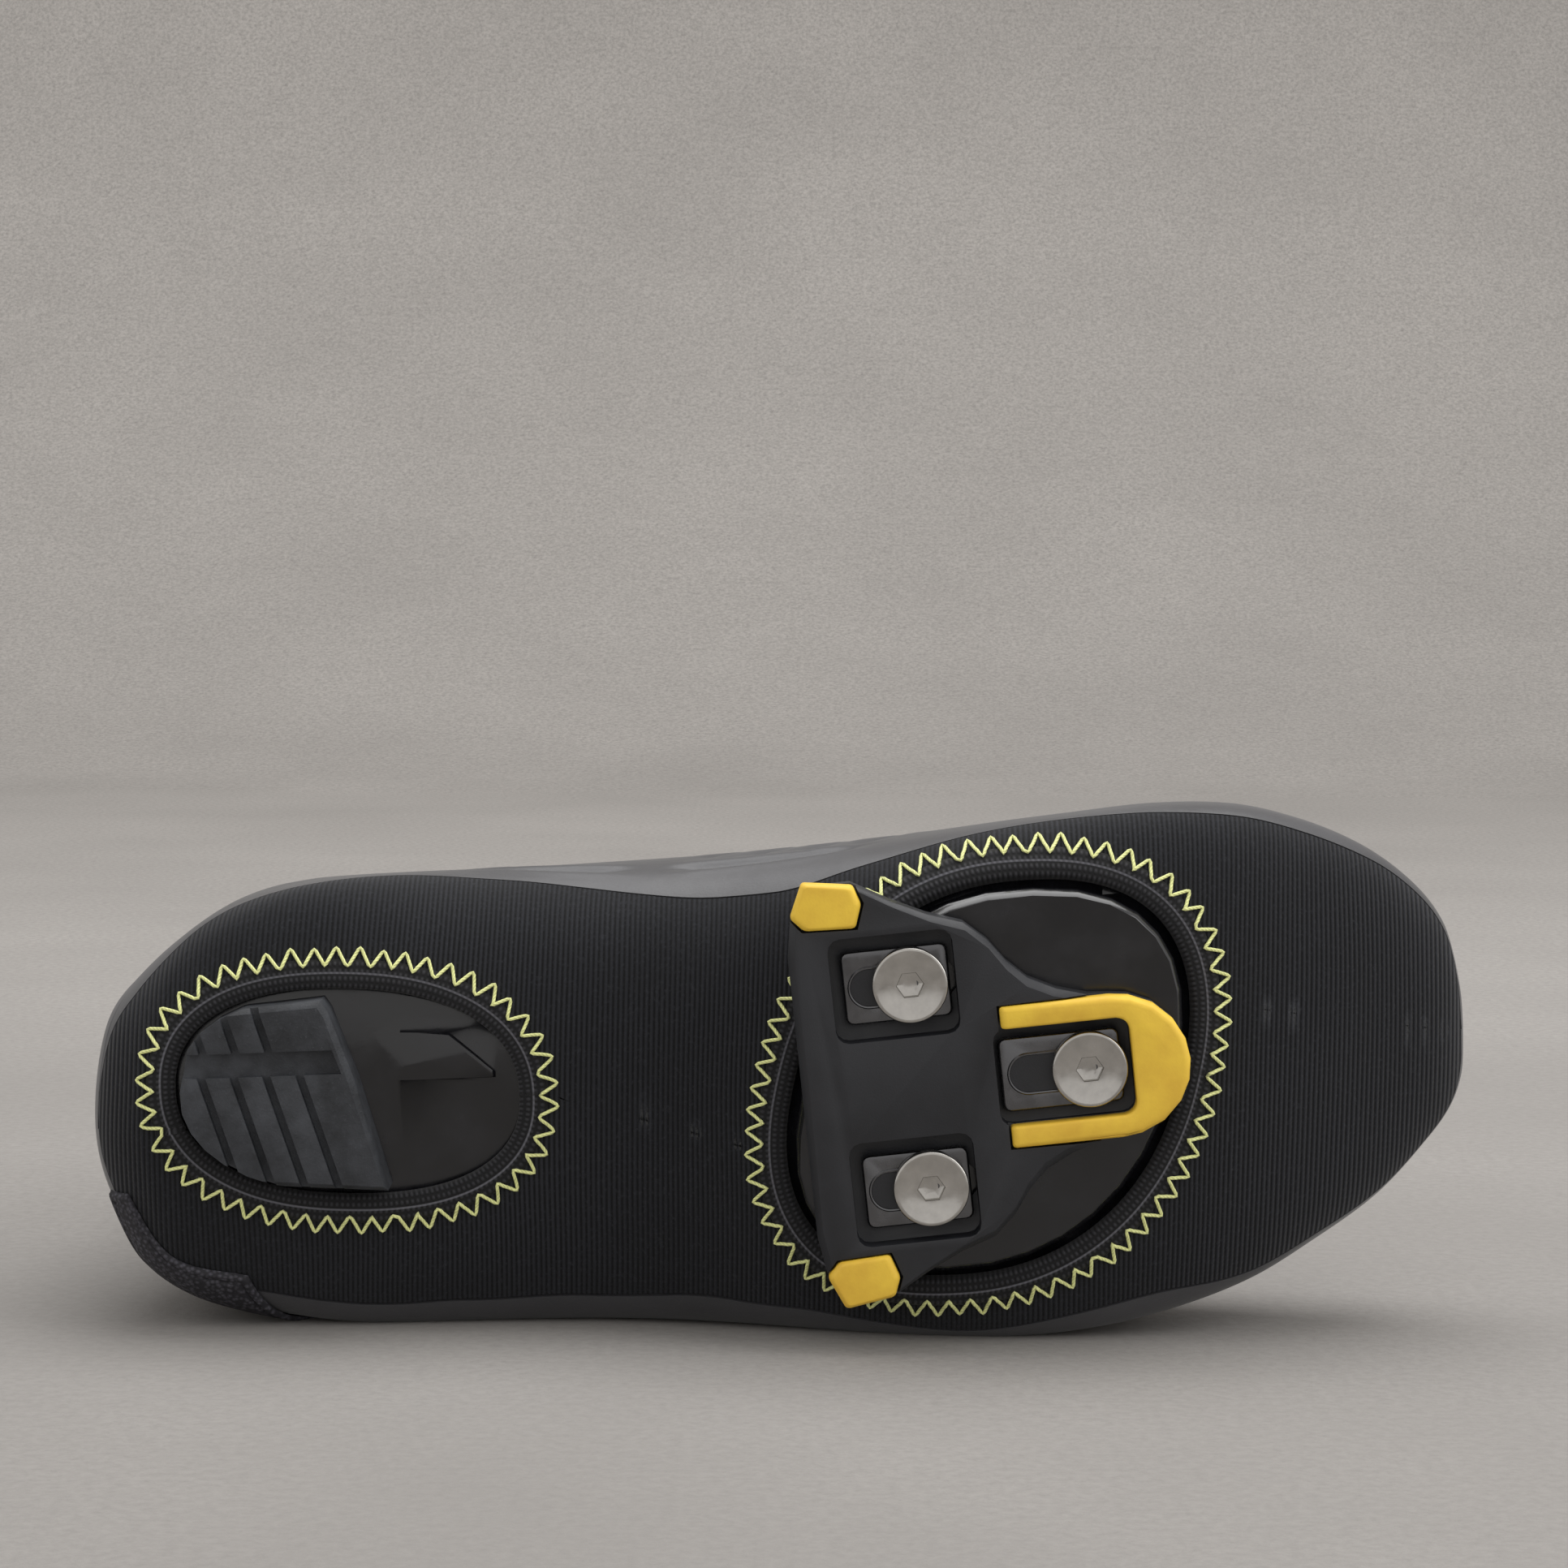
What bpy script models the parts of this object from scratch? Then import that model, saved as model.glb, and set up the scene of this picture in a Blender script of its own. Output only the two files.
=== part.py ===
"""Left cycling overshoe on a stiff road sole, lying on its lateral side.

Shoe axes, in millimetres: x from heel to toe, y to the lateral side, z from sole to cuff.
The whole shoe is then laid down, so the sole faces -Y and the lateral edge meets the floor at Z = 0.
"""

import math

import bmesh
import bpy
from mathutils import Matrix, Vector

MM = 0.001

# Driving sizes of the shoe inside its cover, in millimetres
LENGTH = 245.0
BALL_WIDTH = 92.0
INSTEP_HEIGHT = 80.0
CUFF_HEIGHT = 150.0
TOE_SPRING = 23.0
ARCH_HEIGHT = 8.0
HEEL_HEIGHT = 6.5

# Cover fabric
COVER_WALL = 1.8
MEETING_GAP = 0.3
HEM_HEIGHT = 14.0
HEM_STEP = 0.8
SEAM_HEIGHT = 16.0
FLOOR_PRESS = 0.5

# Cut-outs of the underfoot panel
BINDING_WIDTH = 5.0
BINDING_PROUD = 0.5
BINDING_GAP = 0.65
BINDING_ROUND = 0.6
HEEL_HOLE_LENGTH = 59.4
HEEL_HOLE_WIDTH = 36.4
FOREFOOT_HOLE_LENGTH = 68.0
FOREFOOT_HOLE_WIDTH = 69.5

# Heel tab
TAB_THICKNESS = 0.9
TAB_LOW = 3.6
TAB_HIGH = 22.0
TAB_FRONT = 0.100
TAB_INNER = 0.15

# Sole unit: its clearance inside the cover leaves room for the flats of both
SOLE_CLEARANCE = 0.8
SOLE_EDGE = 9.0
PLATFORM_PROUD = 0.6
PLATFORM_CHAMFER = 0.9
STEP_PROUD = 0.9
INSOLE_THICKNESS = 2.5
INSOLE_MARGIN = 1.6
INSOLE_GAP = 0.7

# Heel pad
PAD_PROUD = 3.4
PAD_MARGIN = 1.1
PAD_CHAMFER = 1.1
GROOVE_WIDTH = 1.5
GROOVE_DEPTH = 1.6
LONG_GROOVE_WIDTH = 4.2

# Cleat
CLEAT_TURN = math.radians(-4.0)
CLEAT_SETBACK = 12.0
CLEAT_THICKNESS = 6.0
CLEAT_LENGTH = 67.0
CLEAT_WIDTH = 73.0
CLEAT_FLOOR = 1.6
CLEAT_CHAMFER = 1.3
CLEAT_PAD_PROUD = 0.9
CLEAT_PAD_CHAMFER = 0.8
REAR_BOLT_SPACING = 35.2
NOSE_BOLT_LEAD = 29.0
WASHER_THICKNESS = 1.6
BOLT_HEAD_RADIUS = 6.5
BOLT_HEAD_HEIGHT = 2.7
BOLT_DISH = 0.9
BOLT_SHANK_RADIUS = 2.5
BOLT_SHANK_DEPTH = 4.5
BOLT_CLEARANCE = 0.3
HEX_ACROSS_FLATS = 4.5
HEX_DEPTH = 1.7
PAD_SINK = 1.4
WINDOW_RADIUS = 2.2
SLOT_RADIUS = 3.7
SHARP = 0.1
CORNER_REACH = 1.45

RIM_CELLS = 5
TOP_CELLS = 6
FIXED_FROM = 98.0
PANEL_CELLS = 4
HOLE_STATIONS = 16
BINDING_STEPS = 36
SIDE_POWER = 3.0
SIDE_SOFTENING = 0.6

# Seen from below: shares of LENGTH along, of BALL_WIDTH across, lateral side positive
OUTLINE_COLUMNS = ("along", "axis", "medial", "lateral")
OUTLINE = (
    (0.000, 0.033, 0.033, 0.033),
    (0.014, 0.032, -0.178, 0.206),
    (0.033, 0.030, -0.243, 0.300),
    (0.060, 0.027, -0.306, 0.354),
    (0.104, 0.022, -0.380, 0.397),
    (0.147, 0.016, -0.415, 0.425),
    (0.192, 0.011, -0.426, 0.445),
    (0.253, 0.006, -0.417, 0.449),
    (0.367, 0.000, -0.420, 0.455),
    (0.478, 0.000, -0.430, 0.468),
    (0.571, -0.003, -0.452, 0.485),
    (0.653, -0.007, -0.485, 0.494),
    (0.718, -0.011, -0.503, 0.483),
    (0.776, -0.016, -0.513, 0.455),
    (0.833, -0.022, -0.504, 0.410),
    (0.882, -0.027, -0.468, 0.346),
    (0.927, -0.033, -0.412, 0.275),
    (0.963, -0.038, -0.338, 0.188),
    (0.986, -0.042, -0.256, 0.118),
    (0.997, -0.044, -0.140, 0.054),
    (1.000, -0.044, -0.044, -0.044),
)

# Height of the sole's underside: shares of TOE_SPRING, ARCH_HEIGHT and HEEL_HEIGHT
SOLE_LINE_COLUMNS = ("along", "spring", "arch", "heel")
SOLE_LINE = (
    (0.00, 0.00, 0.00, 1.00),
    (0.12, 0.00, 0.05, 1.00),
    (0.24, 0.00, 0.55, 0.90),
    (0.36, 0.00, 1.00, 0.55),
    (0.46, 0.00, 0.65, 0.20),
    (0.55, 0.00, 0.15, 0.03),
    (0.64, 0.00, 0.00, 0.00),
    (0.72, 0.02, 0.00, 0.00),
    (0.80, 0.14, 0.00, 0.00),
    (0.88, 0.42, 0.00, 0.00),
    (0.95, 0.76, 0.00, 0.00),
    (1.00, 1.03, 0.00, 0.00),
)

# Back of the heel and cuff: shares of CUFF_HEIGHT up, of LENGTH forward, and how far the sides narrow
BACK_LINE_COLUMNS = ("up", "back", "medial", "lateral")
BACK_LINE = (
    (0.030, 0.056, 1.00, 1.00),
    (0.047, 0.035, 1.00, 1.00),
    (0.067, 0.019, 1.00, 1.00),
    (0.093, 0.008, 1.00, 1.00),
    (0.133, 0.001, 1.00, 1.00),
    (0.180, 0.000, 1.00, 1.00),
    (0.280, 0.003, 0.99, 0.98),
    (0.380, 0.012, 0.91, 0.95),
    (0.500, 0.026, 0.77, 0.94),
    (0.660, 0.041, 0.63, 0.97),
    (0.830, 0.049, 0.56, 1.02),
    (1.000, 0.052, 0.55, 1.06),
)

# Sections from toe to heel: under the sole they start at a share of LENGTH
FOOT_COLUMNS = ("under", "lift", "top_along", "top_up", "medial_rise", "lateral_rise", "edge", "cap")
FOOT_SECTIONS = (
    (1.0000, 0.090, 1.0000, 0.388, 0.50, 0.50, 1.0, 2.3),
    (0.9965, 0.055, 0.9965, 0.448, 0.50, 0.50, 1.0, 2.3),
    (0.9860, 0.024, 0.9860, 0.498, 0.49, 0.49, 1.0, 2.4),
    (0.9650, 0.006, 0.9650, 0.540, 0.48, 0.48, 1.0, 2.5),
    (0.9300, 0.000, 0.9300, 0.570, 0.46, 0.46, 1.0, 2.6),
    (0.8820, 0.000, 0.8820, 0.596, 0.42, 0.42, 1.0, 2.6),
    (0.8240, 0.000, 0.8250, 0.627, 0.38, 0.36, 1.0, 2.5),
    (0.7630, 0.000, 0.7700, 0.670, 0.34, 0.31, 1.0, 2.4),
    (0.6980, 0.000, 0.7110, 0.725, 0.30, 0.27, 1.0, 2.3),
    (0.6330, 0.000, 0.6560, 0.788, 0.33, 0.25, 1.0, 2.2),
    (0.5630, 0.000, 0.6010, 0.856, 0.42, 0.25, 1.0, 2.1),
    (0.4900, 0.000, 0.5500, 0.920, 0.48, 0.24, 1.0, 2.0),
    (0.4120, 0.000, 0.5060, 0.983, 0.49, 0.23, 1.0, 2.0),
    (0.3350, 0.000, 0.4720, 1.040, 0.46, 0.22, 1.0, 2.0),
    (0.2610, 0.000, 0.4470, 1.095, 0.39, 0.21, 1.0, 2.0),
    (0.1960, 0.000, 0.4290, 1.150, 0.31, 0.20, 1.0, 2.0),
    (0.1390, 0.000, 0.4150, 1.200, 0.24, 0.19, 1.0, 2.0),
    (0.0900, 0.000, 0.4050, 1.245, 0.19, 0.18, 1.0, 2.0),
)

# Sections round the heel and up the cuff: they start at a share of CUFF_HEIGHT on the back line
BACK_COLUMNS = ("up", "top_along", "top_up", "medial_rise", "lateral_rise", "edge", "cap")
BACK_SECTIONS = (
    (0.040, 0.397, 0.684, 0.17, 0.17, 0.92, 2.0),
    (0.055, 0.391, 0.700, 0.17, 0.17, 0.70, 2.0),
    (0.078, 0.387, 0.714, 0.18, 0.18, 0.42, 2.0),
    (0.108, 0.383, 0.728, 0.21, 0.21, 0.18, 2.0),
    (0.147, 0.380, 0.742, 0.26, 0.26, 0.00, 2.0),
    (0.207, 0.377, 0.760, 0.33, 0.33, 0.00, 2.0),
    (0.293, 0.375, 0.785, 0.41, 0.41, 0.00, 2.1),
    (0.413, 0.375, 0.818, 0.46, 0.46, 0.00, 2.1),
    (0.560, 0.377, 0.858, 0.49, 0.49, 0.00, 2.2),
    (0.720, 0.381, 0.905, 0.50, 0.50, 0.00, 2.2),
    (0.870, 0.386, 0.953, 0.50, 0.50, 0.00, 2.2),
    (1.000, 0.390, 1.000, 0.50, 0.50, 0.00, 2.2),
)

# Height of the panel's seam over the sole's underside, as shares of SEAM_HEIGHT
SEAM_COLUMNS = ("along", "medial", "lateral")
SEAM = (
    (0.00, 0.48, 0.48),
    (0.06, 0.60, 0.42),
    (0.12, 0.88, 0.32),
    (0.22, 1.10, 0.29),
    (0.30, 0.98, 0.29),
    (0.40, 0.72, 0.29),
    (0.50, 0.64, 0.35),
    (0.56, 0.80, 0.43),
    (0.62, 0.84, 0.48),
    (0.69, 0.80, 0.36),
    (0.76, 0.70, 0.31),
    (0.83, 0.58, 0.42),
    (0.90, 0.46, 0.42),
    (0.95, 0.38, 0.37),
    (1.00, 0.25, 0.25),
)

# Plans in the heel cut-out, as shares of HEEL_HOLE_LENGTH and HEEL_HOLE_WIDTH from its centre
HEEL_STEP_PLAN = ((0.02, -0.275), (0.30, -0.25), (0.43, -0.06), (0.43, -0.03), (0.08, -0.03))
PAD_PLAN = (
    (-0.43, -0.42), (-0.06, -0.46), (-0.04, -0.41), (0.03, -0.08), (0.115, 0.46), (-0.36, 0.40), (-0.50, 0.10),
)
PAD_GROOVES_MEDIAL = (-0.395, -0.300, -0.203)
PAD_GROOVES_LATERAL = (-0.425, -0.330, -0.235, -0.138)
PAD_GROOVE_LEAN = 0.30
PAD_LONG_GROOVE = -0.17

# Half plan of the cleat body, from the middle of its back edge to its nose, in shares of its length and width
CLEAT_HALF_PLAN = (
    (-0.302, 0.000), (-0.302, 0.330), (-0.285, 0.425), (-0.245, 0.490), (-0.125, 0.490), (-0.030, 0.440),
    (0.060, 0.400), (0.150, 0.372), (0.207, 0.325), (0.250, 0.270), (0.300, 0.226), (0.370, 0.194),
    (0.450, 0.172), (0.500, 0.168), (0.549, 0.162), (0.609, 0.138), (0.656, 0.096), (0.682, 0.049),
    (0.690, 0.000),
)
# Boxes and plates of the cleat in its own millimetres: along from, along to, half width or across from and to
WINDOW_ALONG = (-13.4, 7.9)
WINDOW_ACROSS = (8.6, 26.6)
REAR_WASHER_ALONG = (-11.4, 6.9)
REAR_WASHER_ACROSS = (11.4, 23.9)
REAR_SLOT_REACH = 4.6
NOSE_SLOT_REACH = 2.8
WASHER_SLOT_REACH = 2.3
NOSE_WINDOW_ALONG = (13.0, 36.4)
NOSE_WINDOW_HALF = 8.4
NOSE_WASHER_ALONG = (13.8, 34.6)
NOSE_WASHER_HALF = 6.3
NOSE_PAD_BACK = 14.6
NOSE_PAD_HALF = 12.2
CORNER_PAD_PLAN = ((-19.2, 31.0), (-17.0, 28.6), (-8.2, 28.2), (-6.8, 32.3), (-8.0, 35.5), (-16.6, 36.8))

# Colour, roughness, metal share and smoothing angle by the start of each name
LOOKS = {
    "upper": ((0.055, 0.054, 0.060), 0.55, 0.0, 60.0),
    "underfoot_panel": ((0.012, 0.012, 0.014), 0.85, 0.0, 60.0),
    "heel_opening_binding": ((0.013, 0.013, 0.014), 0.8, 0.0, 40.0),
    "forefoot_opening_binding": ((0.013, 0.013, 0.014), 0.8, 0.0, 40.0),
    "heel_tab": ((0.034, 0.033, 0.038), 0.7, 0.0, 40.0),
    "outsole": ((0.010, 0.011, 0.013), 0.25, 0.0, 40.0),
    "heel_pad": ((0.022, 0.023, 0.026), 0.6, 0.0, 40.0),
    "insole": ((0.040, 0.040, 0.045), 0.8, 0.0, 40.0),
    "cleat_body": ((0.022, 0.023, 0.027), 0.5, 0.0, 30.0),
    "cleat_pad": ((0.900, 0.540, 0.055), 0.45, 0.0, 30.0),
    "cleat_washer": ((0.020, 0.020, 0.020), 0.35, 0.9, 30.0),
    "cleat_bolt": ((0.620, 0.600, 0.560), 0.28, 1.0, 30.0),
}


def columns(table, names):
    """Turn a table of rows into one list for each named column."""
    return {name: [row[i] for row in table] for i, name in enumerate(names)}


def spline(xs, ys, x):
    """Smooth curve through the points, held level past its ends."""
    if x <= xs[0]:
        return ys[0]
    if x >= xs[-1]:
        return ys[-1]
    i = max(k for k in range(len(xs) - 1) if xs[k] <= x)
    slopes = []
    for k in (i, i + 1):
        before = max(k - 1, 0)
        after = min(k + 1, len(xs) - 1)
        slopes.append((ys[after] - ys[before]) / (xs[after] - xs[before]))
    span = xs[i + 1] - xs[i]
    t = (x - xs[i]) / span
    rise = ys[i + 1] - ys[i]
    bend = slopes[0] * span - rise
    unbend = rise - slopes[1] * span
    return ys[i] + rise * t + t * (1 - t) * (bend * (1 - t) + unbend * t)


OUT = columns(OUTLINE, OUTLINE_COLUMNS)
LINE = columns(SOLE_LINE, SOLE_LINE_COLUMNS)
BACK = columns(BACK_LINE, BACK_LINE_COLUMNS)
EDGE_SEAM = columns(SEAM, SEAM_COLUMNS)
SQUARES = {
    side: [(reach - axis) ** 2 for reach, axis in zip(OUT[side], OUT["axis"])]
    for side in ("medial", "lateral")
}


def axis_at(x):
    """Sideways place of the shoe's middle line."""
    return BALL_WIDTH * spline(OUT["along"], OUT["axis"], x / LENGTH)


def plan_width(side, x):
    """Half width of the outline seen from below, round at heel and toe."""
    share = min(max(x / LENGTH, 0.0), 1.0)
    return BALL_WIDTH * math.sqrt(max(spline(OUT["along"], SQUARES[side], share), 0.0))


def sole_height(x):
    """Height of the sole's underside: heel, arch and toe spring."""
    share = x / LENGTH
    heights = (("spring", TOE_SPRING), ("arch", ARCH_HEIGHT), ("heel", HEEL_HEIGHT))
    return sum(size * spline(LINE["along"], LINE[name], share) for name, size in heights)


def back_at(z):
    """Place of the heel's back line at a height."""
    return LENGTH * spline(BACK["up"], BACK["back"], z / CUFF_HEIGHT)


def narrowing(side, z):
    """How far the heel and cuff narrow with height."""
    return spline(BACK["up"], BACK[side], z / CUFF_HEIGHT)


def section_rows():
    """All sections from toe to cuff, as bottom and top points with their shape values."""
    rows = []
    for row in FOOT_SECTIONS:
        cut = dict(zip(FOOT_COLUMNS, row))
        x = LENGTH * cut["under"]
        low = (x, sole_height(x) + INSTEP_HEIGHT * cut["lift"])
        high = (LENGTH * cut["top_along"], INSTEP_HEIGHT * cut["top_up"])
        rows.append(low + high + tuple(cut[name] for name in FOOT_COLUMNS[4:]))
    for row in BACK_SECTIONS:
        cut = dict(zip(BACK_COLUMNS, row))
        z = CUFF_HEIGHT * cut["up"]
        high = (LENGTH * cut["top_along"], CUFF_HEIGHT * cut["top_up"])
        rows.append((back_at(z), z) + high + tuple(cut[name] for name in BACK_COLUMNS[3:]))
    tip = rows[0]
    rows[0] = tip[:2] + tip[:2] + tip[4:]
    return rows


ROWS = section_rows()
LAST = len(ROWS) - 1
STATIONS = list(range(len(ROWS)))
ROW_COLUMNS = list(zip(*ROWS))


def section_at(s):
    """Section values at any place between the first row, 0, and the last."""
    values = [spline(STATIONS, column, s) for column in ROW_COLUMNS]
    if s > len(FOOT_SECTIONS):
        values[0] = back_at(values[1])
    return values


def lofted(s, angle):
    """Surface through the sections: angle 0 is the bottom middle, 90 lateral, -90 medial, 180 the top."""
    low_x, low_z, high_x, high_z, medial_rise, lateral_rise, edge, cap = section_at(s)
    side = "lateral" if angle >= 0 else "medial"
    rise = lateral_rise if angle >= 0 else medial_rise
    turn = math.radians(min(abs(angle), 180.0))
    if turn <= math.pi / 2:
        level = rise * (1 - max(math.cos(turn), 0.0) ** (2 / SIDE_POWER))
        under = math.sin(turn) ** (2 / SIDE_POWER)
        shape = 1 - edge * (1 - under)
    else:
        level = rise + (1 - rise) * (-math.cos(turn)) ** (2 / cap)
        shape = max(math.sin(turn), 0.0) ** (2 / cap)
    x = low_x + (high_x - low_x) * level
    z = low_z + (high_z - low_z) * level
    lean = back_at(z)
    fade = min(max(2 - x / (LENGTH * 0.25), 0.0), 1.0)
    width = plan_width(side, x - lean * fade) * narrowing(side, z) * shape
    return Vector((x, axis_at(x) + math.copysign(width, angle), z))


def raw_surface(s, angle):
    """Outer surface before it rests, with the turn round the heel softened over the sides and top."""
    reach = SIDE_SOFTENING * min(max((abs(angle) - 55.0) / 45.0, 0.0), 1.0)
    reach *= min(max((s - 7.0) / 4.0, 0.0), 1.0) * min((LAST - s) / 4.0, 1.0)
    if reach <= 0.0:
        return lofted(s, angle)
    blend = sum((lofted(s + reach * k, angle) * (4 - abs(k)) for k in range(-3, 4)), Vector())
    return blend / 16


def station_under(x):
    """Section whose bottom point lies at x under the sole."""
    low, high = 0.0, float(len(FOOT_SECTIONS))
    for _ in range(40):
        middle = (low + high) / 2
        if section_at(middle)[0] > x:
            low = middle
        else:
            high = middle
    return low


def floor_contact(s):
    """Most lateral point of a section."""
    return max((raw_surface(s, angle) for angle in range(60, 132, 3)), key=lambda point: point.y)


def floor_plane():
    """Plane that the heel edge, the ball edge and the cuff lie on, as a point and its downward normal."""
    heel = floor_contact(station_under(LENGTH * 0.20))
    ball = floor_contact(station_under(LENGTH * 0.645))
    cuff = floor_contact(LAST)
    normal = (cuff - heel).cross(ball - heel).normalized()
    if normal.y < 0:
        normal.negate()
    return heel - normal * FLOOR_PRESS, normal


FLOOR_POINT, FLOOR_NORMAL = floor_plane()


def press(point):
    """Keep a point on the shoe's side of the floor."""
    depth = (point - FLOOR_POINT).dot(FLOOR_NORMAL)
    return point - FLOOR_NORMAL * depth if depth > 0 else point


def surface(s, angle):
    """Outer surface as it rests, with flat spots where it meets the floor."""
    return press(raw_surface(s, angle))


def normal_at(s, angle):
    """Outward normal of the surface."""
    small = 0.02
    before, after = max(s - small, 0.0), min(s + small, LAST)
    along = surface(after, angle) - surface(before, angle)
    around = surface(s, angle + 1.5) - surface(s, angle - 1.5)
    normal = along.cross(around)
    if normal.length < 1e-9 or s < 0.03:
        return Vector((1.0, 0.0, 0.0))
    cut = section_at(s)
    core = Vector(((cut[0] + cut[2]) / 2, axis_at(cut[0]), cut[1] * 0.6 + cut[3] * 0.4))
    if normal.dot(surface(s, angle) - core) < 0:
        normal.negate()
    return normal.normalized()


def offset(s, angle, out):
    """Point at a distance outside the surface, or inside where it is negative."""
    return surface(s, angle) + normal_at(s, angle) * out


def lift_of(point):
    """Height of a point over the sole's underside."""
    return point.z - sole_height(point.x)


def angle_at_lift(s, sign, height, depth=0.0):
    """Angle where a section, or its inside at a depth, passes a height over the underside."""
    def place(angle):
        return offset(s, angle, -depth) if depth else raw_surface(s, angle)
    if lift_of(place(0.0)) >= height(place(0.0).x):
        return 0.0
    low, high = 0.0, 100.0
    for _ in range(22):
        middle = (low + high) / 2
        point = place(sign * middle)
        if lift_of(point) < height(point.x):
            low = middle
        else:
            high = middle
    return sign * (low + high) / 2


def seam_height(side, shift):
    """Function of x for the seam's height on one side, moved up or down by a shift."""
    return lambda x: SEAM_HEIGHT * spline(EDGE_SEAM["along"], EDGE_SEAM[side], x / LENGTH) + shift


def closing_stations(height, depth=0.0):
    """Stations near toe and heel where a section first lies wholly above a height."""
    found = []
    for inside, outside in ((4.0, 0.0), (len(FOOT_SECTIONS) - 1.0, len(FOOT_SECTIONS) + 5.0)):
        for _ in range(40):
            middle = (inside + outside) / 2
            point = offset(middle, 0.0, -depth)
            if lift_of(point) < height(point.x):
                inside = middle
            else:
                outside = middle
        found.append(outside)
    return found


def underside(x, y, out=0.0):
    """Point of the underside below a place in plan, moved outward by a distance."""
    s = station_under(x)
    sign = 1 if y >= axis_at(x) else -1
    angle = 0.0
    for _ in range(8):
        low, high = 0.0, 92.0
        for _ in range(24):
            middle = (low + high) / 2
            if abs(raw_surface(s, sign * middle).y - axis_at(x)) < abs(y - axis_at(x)):
                low = middle
            else:
                high = middle
        angle = sign * (low + high) / 2
        miss = raw_surface(s, angle).x - x
        if abs(miss) < 0.002:
            break
        s += miss / max(section_at(s - 0.05)[0] - section_at(s + 0.05)[0], 0.4) * 0.1
    return offset(s, angle, out)


class Hole:
    """Rounded cut-out of the underfoot panel, in plan."""

    def __init__(self, centre, length, width, skew, slant, power=2.3):
        self.centre = centre
        self.half = (length / 2, width / 2)
        self.skew = skew
        self.slant = slant
        self.power = power

    def point(self, turn, grow=0.0):
        """Point of the edge at an angle, moved out by a distance."""
        def edge(value):
            c, s = math.cos(value), math.sin(value)
            dx = self.half[0] * math.copysign(abs(c) ** (2 / self.power), c)
            dy = self.half[1] * math.copysign(abs(s) ** (2 / self.power), s)
            return (self.centre[0] + dx + self.skew * dy, self.centre[1] + dy + self.slant * dx)
        here = edge(turn)
        before, after = edge(turn - 0.02), edge(turn + 0.02)
        tx, ty = after[0] - before[0], after[1] - before[1]
        size = math.hypot(tx, ty)
        return (here[0] + ty / size * grow, here[1] - tx / size * grow)

    def across(self, x, grow):
        """Medial and lateral edges of the grown cut-out at x, or None past its ends."""
        loop = [self.point(2 * math.pi * k / 240, grow) for k in range(240)]
        crossings = []
        for a, b in zip(loop, loop[1:] + loop[:1]):
            if (a[0] - x) * (b[0] - x) < 0:
                crossings.append(a[1] + (b[1] - a[1]) * (x - a[0]) / (b[0] - a[0]))
        return (min(crossings), max(crossings)) if len(crossings) > 1 else None

    def ends(self, grow):
        """Rear and front ends of the grown cut-out, each as x and y."""
        loop = [self.point(2 * math.pi * k / 240, grow) for k in range(240)]
        return min(loop), max(loop)


HEEL_HOLE = Hole((LENGTH * 0.190, BALL_WIDTH * -0.030), HEEL_HOLE_LENGTH, HEEL_HOLE_WIDTH, 0.0, 0.07)
FOREFOOT_HOLE = Hole((LENGTH * 0.645, BALL_WIDTH * -0.022), FOREFOOT_HOLE_LENGTH, FOREFOOT_HOLE_WIDTH, -0.25, 0.0)
HOLES = (HEEL_HOLE, FOREFOOT_HOLE)

CLEAT_X = FOREFOOT_HOLE.centre[0] - CLEAT_SETBACK
CLEAT_Y = FOREFOOT_HOLE.centre[1] - 0.5
CLEAT_FACE = -PLATFORM_PROUD - MEETING_GAP
BOLT_PLACES = {
    "medial": (0.0, -REAR_BOLT_SPACING / 2),
    "lateral": (0.0, REAR_BOLT_SPACING / 2),
    "nose": (NOSE_BOLT_LEAD, 0.0),
}


def middle_line(x):
    """Line that joins the ends of the cut-outs, where the panel's two halves meet."""
    places = []
    for hole in HOLES:
        places.extend(hole.ends(BINDING_WIDTH + BINDING_GAP))
    xs = [place[0] for place in places]
    ys = [place[1] for place in places]
    if x <= xs[0] or x >= xs[-1]:
        edge = 0 if x <= xs[0] else -1
        far = 0.0 if edge == 0 else LENGTH
        share = min(max((x - far) / (xs[edge] - far), 0.0), 1.0)
        return axis_at(x) + (ys[edge] - axis_at(xs[edge])) * share
    return next(
        ys[k] + (ys[k + 1] - ys[k]) * (x - xs[k]) / (xs[k + 1] - xs[k])
        for k in range(len(xs) - 1) if xs[k] <= x <= xs[k + 1]
    )


def clear_scene():
    """Remove every object of the file."""
    for item in list(bpy.data.objects):
        bpy.data.objects.remove(item)


def collection(name):
    """New collection in the scene."""
    group = bpy.data.collections.new(name)
    bpy.context.scene.collection.children.link(group)
    return group


def material(name, colour, roughness, metallic):
    """Plain surface of a sub-part."""
    finish = bpy.data.materials.new(name)
    finish.use_nodes = True
    shader = finish.node_tree.nodes["Principled BSDF"]
    shader.inputs["Base Color"].default_value = (*colour, 1.0)
    shader.inputs["Roughness"].default_value = roughness
    shader.inputs["Metallic"].default_value = metallic
    return finish


def mesh_object(name, points, faces, group):
    """Mesh object from points in shoe millimetres, with its faces turned outward."""
    shape = bpy.data.meshes.new(name)
    shape.from_pydata([tuple(Vector(point) * MM) for point in points], [], faces)
    work = bmesh.new()
    work.from_mesh(shape)
    bmesh.ops.remove_doubles(work, verts=work.verts, dist=0.005 * MM)
    bmesh.ops.recalc_face_normals(work, faces=work.faces)
    if work.calc_volume(signed=True) < 0:
        bmesh.ops.reverse_faces(work, faces=work.faces)
    work.to_mesh(shape)
    work.free()
    item = bpy.data.objects.new(name, shape)
    group.objects.link(item)
    return item


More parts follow.
